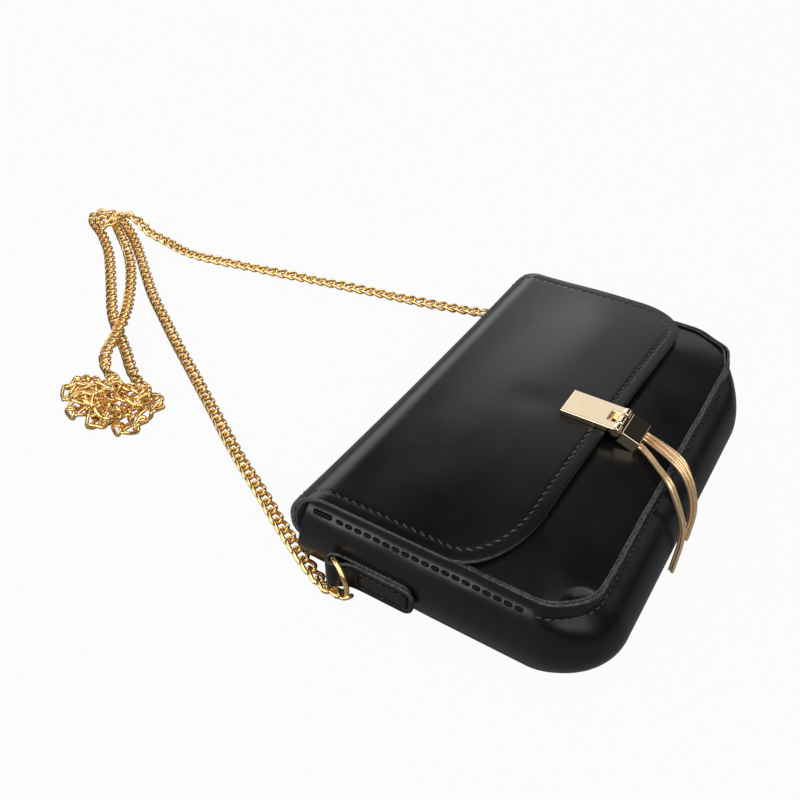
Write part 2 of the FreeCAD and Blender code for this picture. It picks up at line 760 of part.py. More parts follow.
def build_tab(label, side):
    """Strap folded round the bar of a ring and sewn flat on the side of the bag."""
    name = label.title().replace("_", "")
    face = "seam_half_width + side_bulge + seat_gap"
    depth = "2 * tab_leather"
    corner_x = face if side > 0 else f"0 - ( {face} + {depth} )"
    low = "loop_height - tab_width / 2"
    strap = make_box(
        f"{name}Strap", (corner_x, "tab_low_y", low), (depth, "tab_high_y - tab_low_y", "tab_width")
    )
    doc.recompute()
    rounded = doc.addObject("Part::Fillet", f"{name}Rounded")
    rounded.Base = strap
    rounded.Edges = [
        (i + 1, s.tab_corner_radius, s.tab_corner_radius)
        for i, edge in enumerate(strap.Shape.Edges)
        if edge.BoundBox.XLength > s.tab_leather and edge.CenterOfMass.y < strap.Shape.CenterOfGravity.y
    ]
    centre = f"{face} + loop_radius" if side > 0 else f"0 - ( {face} + loop_radius )"
    base = (centre, "loop_y", low)
    loop = make_cylinder(f"{name}Loop", "loop_radius", "tab_width", base, Vector(0, 0, 1))
    bore = make_cylinder(f"{name}Bore", "loop_radius - tab_leather", "tab_width", base, Vector(0, 0, 1))
    keep(make_cut(name, make_fuse(f"{name}Folded", [rounded, loop]), bore), label)


def build_ring(label, side):
    """D-ring: a straight bar in the loop and a half circle of the same wire, back along the tab."""
    name = label.title().replace("_", "")
    arc = doc.addObject("Part::Torus", f"{name}Arc")
    bind(arc, {"Radius1": "ring_radius", "Radius2": "ring_wire / 2"})
    arc.Angle3 = 180.0
    arc.Placement = Placement(Vector(), Rotation(Vector(0, 0, -1), Vector(0, 1, 0), Vector(1, 0, 0), "XYZ"))
    bar = make_cylinder(
        f"{name}Bar", "ring_wire / 2", "2 * ring_radius", ("0", "0", "0 - ring_radius"), Vector(0, 0, 1)
    )
    ends = []
    for end, z in (("Low", "0 - ring_radius"), ("High", "ring_radius")):
        ball = doc.addObject("Part::Sphere", f"{name}{end}")
        ends.append(bind(ball, {"Radius": "ring_wire / 2", **place(("0", "0", z))}))
    ring = make_fuse(name, [arc, bar] + ends)
    ring.Placement = ring_placement(side)
    keep(ring, label)


def ring_placement(side):
    """Where a ring lies: its bar in the loop, its bow towards the bottom of the bag and leaning out."""
    bow = Rotation(Vector(0, 0, 1), 180.0 + side * s.ring_lean)
    return Placement(Vector(side * loop_x(), s.loop_y, s.loop_height), bow)


def ring_link_point(side):
    """Point on the ring's wire where the last link of the chain hangs."""
    turn = math.radians(RING_LINK_ANGLE)
    local = Vector(0, s.ring_radius * math.cos(turn), -s.ring_radius * math.sin(turn))
    return ring_placement(side).multVec(local)


def chain_floor():
    """Height of the chain's middle line where its leaning links rest on the floor."""
    bow = (s.link_width - s.link_wire) / 2
    return bow * math.sin(math.radians(LINK_LEAN)) + s.link_wire / 2 + s.seat_gap


def heap_route():
    """Piled loops: an oval spiral in on the floor, then out again one layer up."""
    points = []
    for i in range(HEAP_POLES + 1):
        share = i / HEAP_POLES
        turn = math.radians(HEAP_START_ANGLE - HEAP_TURN_ANGLE * share)
        size_share = 1.0 - (1.0 - HEAP_INNER_SHARE) * (1.0 - abs(2.0 * share - 1.0))
        climb = min(1.0, max(0.0, (share - 0.5) / HEAP_CLIMB_SHARE + 0.5))
        points.append((
            s.heap_x + s.heap_half_width * size_share * math.cos(turn),
            s.heap_y + s.heap_half_length * size_share * math.sin(turn),
            climb * climb * (3.0 - 2.0 * climb),
        ))
    return points


def chain_curve(stretches):
    """Smooth curve of the chain from ring to ring, with its route points as poles."""
    floor = chain_floor()
    poles = [ring_link_point(-1)]
    ends = []
    for points in stretches:
        poles += [Vector(x, y, floor + layer * s.chain_layer) for x, y, layer in points]
        ends.append(len(poles))
    poles.append(ring_link_point(1))
    spans = len(poles) - 2
    curve = Part.BSplineCurve()
    mults = [3] + [1] * (spans - 1) + [3]
    curve.buildFromPolesMultsKnots(poles, mults, list(range(spans + 1)), False, 2)
    return curve, ends


def link_solid():
    """One oval link of round wire, lying in the XY plane along X."""
    wire = s.link_wire / 2
    bow = s.link_width / 2 - wire
    reach = (s.link_pitch + s.link_slack) / 2 + wire - bow
    pieces = []
    for sign in (1, -1):
        end = Part.makeTorus(bow, wire, Vector(), Vector(0, 0, 1), 0, 360, 180)
        end.Placement = Placement(Vector(sign * reach, 0, 0), Rotation(Vector(0, 0, 1), -90.0 * sign))
        pieces.append(end)
        pieces.append(Part.makeCylinder(wire, 2 * reach, Vector(-reach, sign * bow, 0), Vector(1, 0, 0)))
    return pieces[0].multiFuse(pieces[1:]).removeSplitter()


def link_line():
    """Points along the middle line of the wire of one link, in the link's own frame."""
    wire = s.link_wire / 2
    bow = s.link_width / 2 - wire
    reach = (s.link_pitch + s.link_slack) / 2 + wire - bow
    points = []
    for sign in (1, -1):
        for step in range(13):
            turn = math.radians(-90.0 + 15.0 * step)
            points.append(Vector(sign * (reach + bow * math.cos(turn)), sign * bow * math.sin(turn), 0))
        for step in range(1, 6):
            points.append(Vector(sign * (reach - 2 * reach * step / 6), sign * bow, 0))
    return points


def least_link_gap(placements):
    """Least gap between the wires of any two links."""
    lines = [[placement.multVec(p) for p in link_line()] for placement in placements]
    least = (s.overrun, 0, 0)
    for i, one in enumerate(lines):
        for j in range(i + 1, len(lines)):
            apart = placements[i].Base.distanceToPoint(placements[j].Base)
            if apart > 2 * (s.link_pitch + s.link_width):
                continue
            gap = min(p.distanceToPoint(q) for p in one for q in lines[j]) - s.link_wire
            least = min(least, (gap, i, j))
    return least


def build_chain():
    """Links from ring to ring, each turned a quarter from the one before, in five named stretches."""
    labels = ["chain_near_run", "chain_left_strand", "chain_heap", "chain_right_strand", "chain_far_run"]
    stretches = [NEAR_RUN, LEFT_STRAND, heap_route(), RIGHT_STRAND, FAR_RUN]
    curve, ends = chain_curve(stretches)
    length = curve.length()
    inner = s.link_pitch + s.link_slack
    first = inner / 2 - s.ring_wire / 2 - s.running_gap
    gaps = 2 * round((length - 2 * first) / s.link_pitch / 2)
    step = (length - 2 * first) / gaps
    link = link_solid()
    links = {label: [] for label in labels}
    placements = []
    for i in range(gaps + 1):
        u = curve.parameterAtDistance(first + i * step, curve.FirstParameter)
        along = Vector(*curve.tangent(u)[0])
        across = Vector(0, 0, 1).cross(along).normalize()
        settled = min(1.0, i / SETTLING_LINKS, (gaps - i) / SETTLING_LINKS)
        lean = LINK_LEAN * settled + 90.0 * (i % 2)
        frame = Rotation(along, across, along.cross(across), "XYZ")
        placement = Placement(curve.value(u), frame.multiply(Rotation(Vector(1, 0, 0), lean)))
        placements.append(placement)
        index = sum(u >= end - 1.0 for end in ends[:-1])
        copy = link.copy()
        copy.Placement = placement
        links[labels[index]].append(copy)
    for label in labels:
        keep(make_feature(label.title().replace("_", ""), Part.makeCompound(links[label])), label)
    gap, i, j = least_link_gap(placements)
    print(f"chain length {length:.1f} links {gaps + 1} step {step:.3f} least gap {gap:.2f} at {i} and {j}")


def build():
    """Build every sub-part in order."""
    build_gusset()
    build_back_panel()
    build_front_panel()
    build_welt()
    build_lining()
    build_roll("roll_lower", 0.0, ROLL_MEETING_SHARE, roll_half_width())
    build_roll("roll_upper", ROLL_MEETING_SHARE, 1.0, flap_half_width())
    build_flap()
    build_clasp_plate()
    build_block()
    build_strands()
    build_snap()
    for label, side in (("near", -1), ("far", 1)):
        build_tab(f"{label}_tab", side)
        build_ring(f"{label}_ring", side)
    build_chain()


def check_and_write():
    """Check every object of the document and write each sub-part to its own file."""
    doc.recompute()
    for obj in doc.Objects:
        if "Invalid" in obj.State or "Error" in obj.State:
            raise RuntimeError(f"{obj.Name} failed: {obj.State}")
    for obj in nodes:
        if obj.Shape.isNull() or not obj.Shape.isValid():
            raise RuntimeError(f"{obj.Label} has no valid shape")
    os.makedirs("parts", exist_ok=True)
    for obj in nodes:
        obj.Shape.exportStep(f"parts/{obj.Label}.step")
        print(f"{obj.Label}: solids {len(obj.Shape.Solids)} volume {obj.Shape.Volume:.1f}")


build()
check_and_write()
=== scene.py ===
"""Looks of the chain shoulder bag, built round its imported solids.

Sizes are millimetres in the bag's own frame: +X to its right, +Y to the roll at its top, +Z up and
out of its front. The floor is z = 0. Meshes are written in metres.
"""

import logging
import math
from dataclasses import dataclass, field
from enum import Enum, IntEnum

import bpy
import numpy as np
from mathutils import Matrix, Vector


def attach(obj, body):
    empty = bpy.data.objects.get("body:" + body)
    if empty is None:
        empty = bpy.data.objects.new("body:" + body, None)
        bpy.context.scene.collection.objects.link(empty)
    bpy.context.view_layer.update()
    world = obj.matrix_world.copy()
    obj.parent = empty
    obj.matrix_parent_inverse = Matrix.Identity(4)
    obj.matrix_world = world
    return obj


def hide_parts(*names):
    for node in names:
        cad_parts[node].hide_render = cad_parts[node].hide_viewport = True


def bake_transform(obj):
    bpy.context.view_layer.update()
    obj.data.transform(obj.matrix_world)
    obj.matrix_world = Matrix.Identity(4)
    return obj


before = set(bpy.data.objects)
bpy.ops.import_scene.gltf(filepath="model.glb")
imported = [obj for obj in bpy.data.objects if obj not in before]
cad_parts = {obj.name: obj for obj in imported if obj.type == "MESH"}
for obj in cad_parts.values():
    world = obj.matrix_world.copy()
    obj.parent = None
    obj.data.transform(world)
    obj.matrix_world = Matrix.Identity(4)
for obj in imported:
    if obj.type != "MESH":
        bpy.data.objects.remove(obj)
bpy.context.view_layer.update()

MM = 0.001
LOG = logging.getLogger("shoulder_bag")
Array = np.ndarray
Colour = tuple[float, float, float]
Point = tuple[float, float, float]
Route = tuple[Point, ...]
Material = bpy.types.Material
Piece = bpy.types.Object
Socket = bpy.types.NodeSocket

EDGE_STEPS = 6
STITCH_STEPS = 7
STITCH_SIDES = 6
ROUTE_STEPS = 24
NOISE_MIDDLE = (0.3, 0.7)
MIX_SHARE, MIX_FIRST, MIX_SECOND, MIX_RESULT = 0, 6, 7, 2
X_AXIS = np.array([1.0, 0.0, 0.0])
Z_AXIS = np.array([0.0, 0.0, 1.0])


class Body(str, Enum):
    """Bodies that the pieces ride on."""

    BAG = "bag"
    FOLD = "flap_fold"
    FLAP = "flap"
    TASSEL = "tassel"
    NEAR_RING = "near_ring"
    FAR_RING = "far_ring"


class Face(IntEnum):
    """Material slots of a leather sheet."""

    FRONT = 0
    BACK = 1
    EDGE = 2


class Side(IntEnum):
    """The bag's near side, to its left, and its far side."""

    NEAR = -1
    FAR = 1


# Curves and grids


def smoothstep(value: Array) -> Array:
    """Ease from 0 to 1 with level ends."""
    share = np.clip(value, 0.0, 1.0)
    return share * share * (3.0 - 2.0 * share)


def bell(value: Array, width: float) -> Array:
    """Round hill of height 1 about 0, with a width on the same scale as the value."""
    return np.exp(-((value / width) ** 2))


def unit(vectors: Array) -> Array:
    """Vectors scaled to length 1."""
    return vectors / np.linalg.norm(vectors, axis=-1, keepdims=True)


def smooth_line(control: Array, count: int) -> Array:
    """Uniform cubic B-spline, its ends held on the first and last control points.

    Args:
        control: Control points, one per row.
        count: How many points to give.

    Returns:
        Points evenly spaced in the spline's own parameter.
    """
    held = np.concatenate([control[:1], control[:1], control, control[-1:], control[-1:]])
    place = np.linspace(0.0, len(held) - 3.0, count)
    index = np.minimum(place.astype(int), len(held) - 4)
    f = place - index
    weights = np.stack([(1 - f) ** 3, 3 * f**3 - 6 * f**2 + 4, -3 * f**3 + 3 * f**2 + 3 * f + 1, f**3], 1)
    return np.einsum("nk,nkd->nd", weights / 6.0, held[index[:, None] + np.arange(4)])


def distances(line: Array) -> Array:
    """Length along a line at each of its points."""
    steps = np.linalg.norm(np.diff(line, axis=0), axis=1)
    return np.concatenate([[0.0], np.cumsum(steps)])


def read_at(length: Array, values: Array, places: Array) -> Array:
    """Values given along a line, read at other lengths."""
    return np.stack([np.interp(places, length, values[:, k]) for k in range(values.shape[1])], axis=1)


def points_at(line: Array, places: Array) -> Array:
    """Points of a line at the given lengths along it."""
    return read_at(distances(line), line, places)


def tangents(line: Array) -> Array:
    """Unit directions along a line."""
    return unit(np.gradient(line, axis=0))


def grid_normals(grid: Array) -> Array:
    """Unit normals of a grid, the cross product of its row and column directions."""
    return unit(np.cross(np.gradient(grid, axis=0), np.gradient(grid, axis=1)))


@dataclass
class Surface:
    """Points and faces of one piece, gathered grid by grid."""

    points: list[Array] = field(default_factory=list)
    quads: list[Array] = field(default_factory=list)
    slots: list[Array] = field(default_factory=list)
    count: int = 0

    def add(self, points: Array, slot: int = 0, flip: bool = False, loop_rows: bool = False,
            loop_columns: bool = False) -> None:
        """Add one grid, or many copies of a grid.

        Args:
            points: Array of (rows, columns, 3), or of (copies, rows, columns, 3).
            slot: Material slot of its faces.
            flip: Turn the faces over.
            loop_rows: Join the last row to the first.
            loop_columns: Join the last column to the first.
        """
        block = points if points.ndim == 4 else points[None]
        index = np.arange(block[..., 0].size).reshape(block.shape[:3]) + self.count
        if loop_rows:
            index = np.concatenate([index, index[:, :1]], axis=1)
        if loop_columns:
            index = np.concatenate([index, index[:, :, :1]], axis=2)
        corners = (index[:, :-1, :-1], index[:, 1:, :-1], index[:, 1:, 1:], index[:, :-1, 1:])
        quads = np.stack(corners, axis=-1).reshape(-1, 4)
        self.points.append(block.reshape(-1, 3))
        self.quads.append(quads[:, ::-1] if flip else quads)
        self.slots.append(np.full(len(quads), slot))
        self.count += block[..., 0].size

    def add_sheet(self, front: Array, thickness: float, rounding: float, flip: bool = False) -> None:
        """Add a sheet with a front, a back one thickness behind it and round cut edges.

        The back is the front moved against its normal. Each edge strip runs from front to back and
        swells outwards by a half sine.

        Args:
            front: Grid of the front face.
            thickness: How thick the sheet is.
            rounding: How far the cut edges swell.
            flip: The grid's own normal points to the back.
        """
        out = grid_normals(front) * (-1.0 if flip else 1.0)
        back = front - out * thickness
        self.add(front, Face.FRONT, flip)
        self.add(back, Face.BACK, not flip)
        share = np.linspace(0.0, 1.0, EDGE_STEPS)[None, :, None]
        borders = (
            (front[0], front[1], back[0]), (front[-1], front[-2], back[-1]),
            (front[:, 0], front[:, 1], back[:, 0]), (front[:, -1], front[:, -2], back[:, -1]),
        )
        for rim, inside, behind in borders:
            outward = unit(rim - inside)[:, None]
            swell = rounding * np.sin(np.pi * share)
            strip = rim[:, None] * (1 - share) + behind[:, None] * share + outward * swell
            facing = np.mean(np.sum(grid_normals(strip) * outward, axis=-1))
            self.add(strip, Face.EDGE, bool(facing < 0.0))

    def add_tube(self, line: Array, radius: Array, sides: int, reference: Array) -> None:
        """Add a round tube along a line, closed by shrinking its two ends.

        Args:
            line: Middle line of the tube.
            radius: Radius at each point and side, as (points, sides).
            sides: Number of sides.
            reference: Direction that the tube's own sideways axis keeps away from.
        """
        along = tangents(line)
        first = unit(np.cross(along, reference))
        second = np.cross(along, first)
        turn = np.linspace(0.0, math.tau, sides, endpoint=False)
        ring = first[:, None] * np.cos(turn)[None, :, None] + second[:, None] * np.sin(turn)[None, :, None]
        self.add(line[:, None] + ring * radius[..., None], flip=True, loop_columns=True)

    def make(self, name: str, materials: list[Material]) -> Piece:
        """Put the grids into one smooth mesh object at the origin.

        Args:
            name: Name of the piece.
            materials: One material per slot.

        Returns:
            The new object, linked to the scene.
        """
        mesh = bpy.data.meshes.new(name)
        mesh.from_pydata(np.concatenate(self.points) * MM, [], np.concatenate(self.quads).tolist())
        for material in materials:
            mesh.materials.append(material)
        mesh.polygons.foreach_set("material_index", np.concatenate(self.slots).astype(np.int32))
        mesh.polygons.foreach_set("use_smooth", np.ones(len(mesh.polygons), dtype=bool))
        mesh.update()
        obj = bpy.data.objects.new(name, mesh)
        bpy.context.scene.collection.objects.link(obj)
        LOG.info("%s: %d faces", name, len(mesh.polygons))
        return obj


def sheet_piece(name: str, front: Array, thickness: float, rounding: float, materials: list[Material],
                flip: bool = False) -> Piece:
    """Make a piece of one sheet.

    Args:
        name: Name of the piece.
        front: Grid of the front face.
        thickness: How thick the sheet is.
        rounding: How far the cut edges swell.
        materials: Materials of front, back and edge.
        flip: The grid's own normal points to the back.

    Returns:
        The new object.
    """
    surface = Surface()
    surface.add_sheet(front, thickness, rounding, flip)
    return surface.make(name, materials)


def capsule(length: float, radius: float, height: float) -> Array:
    """Grid of one stitch along X: an oval bar that draws in to its ends by a fourth power.

    Args:
        length: Length of the stitch.
        radius: Half its width.
        height: Half its height.

    Returns:
        Grid of (places along it, places round it, 3).
    """
    along = np.linspace(-1.0, 1.0, STITCH_STEPS)
    turn = np.linspace(0.0, math.tau, STITCH_SIDES, endpoint=False)
    wide = np.maximum(1.0 - along**4, 0.0) ** 0.5
    grid = np.empty((len(along), len(turn), 3))
    grid[..., 0] = along[:, None] * length / 2
    grid[..., 1] = radius * wide[:, None] * np.cos(turn)
    grid[..., 2] = height * wide[:, None] * np.sin(turn)
    return grid


@dataclass(frozen=True)
class Stitching:
    """A row of thread stitches."""

    pitch: float = 3.9
    length: float = 3.1
    radius: float = 0.34
    height: float = 0.34
    sink: float = 0.1
    slant_deg: float = 9.0

    def add(self, surface: Surface, line: Array, up: Array, slot: int = 0) -> None:
        """Lay stitches along a line, each turned a little across it.

        Args:
            surface: Surface that gets them.
            line: Points of the row, close together.
            up: Normal of the leather at each of them.
            slot: Material slot of the stitches.
        """
        length = distances(line)
        places = np.arange(self.pitch / 2, length[-1], self.pitch)
        origin = points_at(line, places)
        lift = unit(read_at(length, up, places))
        along = unit(read_at(length, tangents(line), places))
        side = np.cross(lift, along)
        slant = math.radians(self.slant_deg)
        axes = np.stack([
            along * math.cos(slant) + side * math.sin(slant),
            side * math.cos(slant) - along * math.sin(slant),
            lift,
        ], axis=1)
        stitch = capsule(self.length, self.radius, self.height)
        placed = np.einsum("rck,nkd->nrcd", stitch, axes) + (origin - lift * self.sink)[:, None, None]
        surface.add(placed, slot, flip=True, loop_columns=True)


# Finishes


class Graph:
    """Nodes of one material, with short calls for the ones used here."""

    def __init__(self, name: str) -> None:
        """Start a material with a Principled shader."""
        self.material = bpy.data.materials.new(name)
        self.material.use_nodes = True
        self.tree = self.material.node_tree
        self.shader = self.tree.nodes["Principled BSDF"]
        self.coords = self.node("ShaderNodeTexCoord").outputs["Object"]

    def node(self, kind: str, **inputs: float) -> bpy.types.Node:
        """Add a node and set inputs by name."""
        node = self.tree.nodes.new(kind)
        for name, value in inputs.items():
            node.inputs[name.replace("_", " ")].default_value = value
        return node

    def link(self, source: Socket, target: Socket) -> None:
        """Join two sockets."""
        self.tree.links.new(source, target)

    def wire(self, socket: str, source: Socket) -> None:
        """Drive an input of the shader."""
        self.link(source, self.shader.inputs[socket])

    def fix(self, socket: str, value: float) -> None:
        """Set an input of the shader to one value."""
        self.shader.inputs[socket].default_value = value

    def noise(self, scale: float, detail: float = 2.0) -> Socket:
        """Cloudy noise with features one over the scale in size, in metres."""
        node = self.node("ShaderNodeTexNoise", Scale=scale, Detail=detail)
        self.link(self.coords, node.inputs["Vector"])
        return node.outputs["Fac"]

    def cells(self, scale: float) -> Socket:
        """Distance to the middle of rounded cells, as in leather grain."""
        node = self.node("ShaderNodeTexVoronoi", Scale=scale)
        node.feature = "SMOOTH_F1"
        self.link(self.coords, node.inputs["Vector"])
        return node.outputs["Distance"]

    def ranged(self, source: Socket, low: float, high: float) -> Socket:
        """Spread the middle of a noise over a range."""
        node = self.node("ShaderNodeMapRange", From_Min=NOISE_MIDDLE[0], From_Max=NOISE_MIDDLE[1],
                         To_Min=low, To_Max=high)
        self.link(source, node.inputs["Value"])
        return node.outputs["Result"]

    def mixed(self, share: Socket, first: Colour, second: Colour) -> Socket:
        """Mix of two colours."""
        node = self.node("ShaderNodeMix")
        node.data_type = "RGBA"
        self.link(share, node.inputs[MIX_SHARE])
        node.inputs[MIX_FIRST].default_value = (*first, 1.0)
        node.inputs[MIX_SECOND].default_value = (*second, 1.0)
        return node.outputs[MIX_RESULT]

    def bump(self, height: Socket, strength: float, depth: float,
             under: Socket | None = None) -> Socket:
        """Bump from a height, on top of another one if given.

        Args:
            height: Height to take it from.
            strength: Share of the bump that shows.
            depth: How deep it is, in metres.
            under: Normal of another bump below it.

        Returns:
            The bumped normal.
        """
        node = self.node("ShaderNodeBump", Strength=strength, Distance=depth)
        self.link(height, node.inputs["Height"])
        if under is not None:
            self.link(under, node.inputs["Normal"])
        return node.outputs["Normal"]


@dataclass(frozen=True)
class Leather:
    """Smooth black leather with a fine grain and a soft shine. A bump is its strength and depth."""

    name: str = "black_leather_skin"
    colour: Colour = (0.0025, 0.0025, 0.003)
    bloom: Colour = (0.0045, 0.0047, 0.0056)
    gloss: tuple[float, float] = (0.25, 0.33)
    specular: float = 0.37
    cloud_scale: float = 38.0
    cloud_detail: float = 3.0
    pore_scale: float = 1700.0
    pore_bump: tuple[float, float] = (0.08, 0.00005)
    crease_scale: float = 210.0
    crease_detail: float = 4.0
    crease_bump: tuple[float, float] = (0.03, 0.0003)

    def make(self) -> Material:
        """Build the material."""
        graph = Graph(self.name)
        cloud = graph.noise(self.cloud_scale, self.cloud_detail)
        graph.wire("Base Color", graph.mixed(cloud, self.colour, self.bloom))
        graph.wire("Roughness", graph.ranged(cloud, *self.gloss))
        graph.fix("Specular IOR Level", self.specular)
        crease = graph.bump(graph.noise(self.crease_scale, self.crease_detail), *self.crease_bump)
        graph.wire("Normal", graph.bump(graph.cells(self.pore_scale), *self.pore_bump, crease))
        return graph.material


@dataclass(frozen=True)
class CutEdge:
    """Dyed raw edge of leather, greyer and rougher than its face."""

    name: str = "leather_cut_edge"
    dark: Colour = (0.025, 0.025, 0.026)
    pale: Colour = (0.12, 0.12, 0.123)
    gloss: float = 0.55
    fibre_scale: float = 1500.0
    fibre_detail: float = 4.0
    fibre_bump: tuple[float, float] = (0.5, 0.0002)
    speckle: tuple[float, float] = (-0.5, 1.5)

    def make(self) -> Material:
        """Build the material."""
        graph = Graph(self.name)
        fibre = graph.noise(self.fibre_scale, self.fibre_detail)
        graph.wire("Base Color", graph.mixed(graph.ranged(fibre, *self.speckle), self.dark, self.pale))
        graph.fix("Roughness", self.gloss)
        graph.wire("Normal", graph.bump(fibre, *self.fibre_bump))
        return graph.material


@dataclass(frozen=True)
class Thread:
    """Waxed black sewing thread."""

    name: str = "black_thread"
    dark: Colour = (0.015, 0.015, 0.016)
    pale: Colour = (0.05, 0.05, 0.052)
    gloss: float = 0.32
    specular: float = 0.5
    ply_scale: float = 2600.0
    ply_detail: float = 1.0
    ply_bump: tuple[float, float] = (0.6, 0.0001)

    def make(self) -> Material:
        """Build the material."""
        graph = Graph(self.name)
        ply = graph.noise(self.ply_scale, self.ply_detail)
        graph.wire("Base Color", graph.mixed(ply, self.dark, self.pale))
        graph.fix("Roughness", self.gloss)
        graph.fix("Specular IOR Level", self.specular)
        graph.wire("Normal", graph.bump(ply, *self.ply_bump))
        return graph.material


@dataclass(frozen=True)
class Cloth:
    """Matt woven lining."""

    name: str = "black_lining_cloth"
    dark: Colour = (0.006, 0.006, 0.007)
    pale: Colour = (0.022, 0.022, 0.024)
    gloss: float = 0.9
    sheen: float = 0.25
    yarn_scale: float = 900.0
    yarn_bump: tuple[float, float] = (0.7, 0.0003)

    def make(self) -> Material:
        """Build the material."""
        graph = Graph(self.name)
        yarn = graph.cells(self.yarn_scale)
        graph.wire("Base Color", graph.mixed(yarn, self.dark, self.pale))
        graph.fix("Roughness", self.gloss)
        graph.fix("Sheen Weight", self.sheen)
        graph.wire("Normal", graph.bump(yarn, *self.yarn_bump))
        return graph.material


@dataclass(frozen=True)
class Metal:
    """Plated metal with a faint unevenness in its polish."""

    name: str
    colour: Colour
    shade: Colour
    gloss: tuple[float, float]
    metallic: float = 1.0
    wear_scale: float = 260.0
    wear_detail: float = 3.0
    wear_bump: tuple[float, float] = (0.15, 0.00003)

    def make(self) -> Material:
        """Build the material."""
        graph = Graph(self.name)
        wear = graph.noise(self.wear_scale, self.wear_detail)
        graph.wire("Base Color", graph.mixed(wear, self.colour, self.shade))
        graph.wire("Roughness", graph.ranged(wear, *self.gloss))
        graph.fix("Metallic", self.metallic)
        graph.wire("Normal", graph.bump(wear, *self.wear_bump))
        return graph.material


class Finishes:
    """Every material of the bag, made once."""

    def __init__(self) -> None:
        """Make the materials."""
        self.leather = Leather().make()
        self.edge = CutEdge().make()
        # Cut edge made darker for the raised seam, the front, the gusset and the straps: painted shade.
        self.shaded_seam_edge = CutEdge(
            "painted_shade_seam_edge", dark=(0.003, 0.003, 0.003), pale=(0.075, 0.075, 0.076)).make()
        self.thread = Thread().make()
        # Thread darker and duller than the leather: black thread, and painted shade of the needle holes and
        # groove.
        self.thread_and_hole_shade = Thread(
            "dull_black_thread_and_hole_shade", dark=(0.0012, 0.0012, 0.0012), pale=(0.003, 0.003, 0.003),
            gloss=0.5, specular=0.12).make()
        self.cloth = Cloth().make()
        self.pale_gold = Metal("pale_gold_plate", (0.91, 0.76, 0.54), (0.87, 0.7, 0.47), (0.07, 0.12)).make()
        self.strand_gold = Metal("strand_gold", (1.0, 0.75, 0.45), (1.0, 0.67, 0.36), (0.3, 0.4), 0.8).make()
        self.chain_gold = Metal("chain_gold", (1.0, 0.71, 0.31), (0.97, 0.6, 0.21), (0.12, 0.2), 0.93).make()
        self.steel = Metal("snap_steel", (0.62, 0.60, 0.55), (0.5, 0.48, 0.44), (0.25, 0.4)).make()

    def sheet(self) -> list[Material]:
        """Slots of a leather sheet: front, back and cut edge."""
        return [self.leather, self.leather, self.edge]

    def shaded_seam_sheet(self) -> list[Material]:
        """Slots of a leather sheet: front, back and the cut edge made darker, as painted shade along the
        seam.
        """
        return [self.leather, self.leather, self.shaded_seam_edge]

    def lined_sheet(self) -> list[Material]:
        """Slots of a leather sheet with cloth behind it."""
        return [self.leather, self.cloth, self.edge]


# Pouch


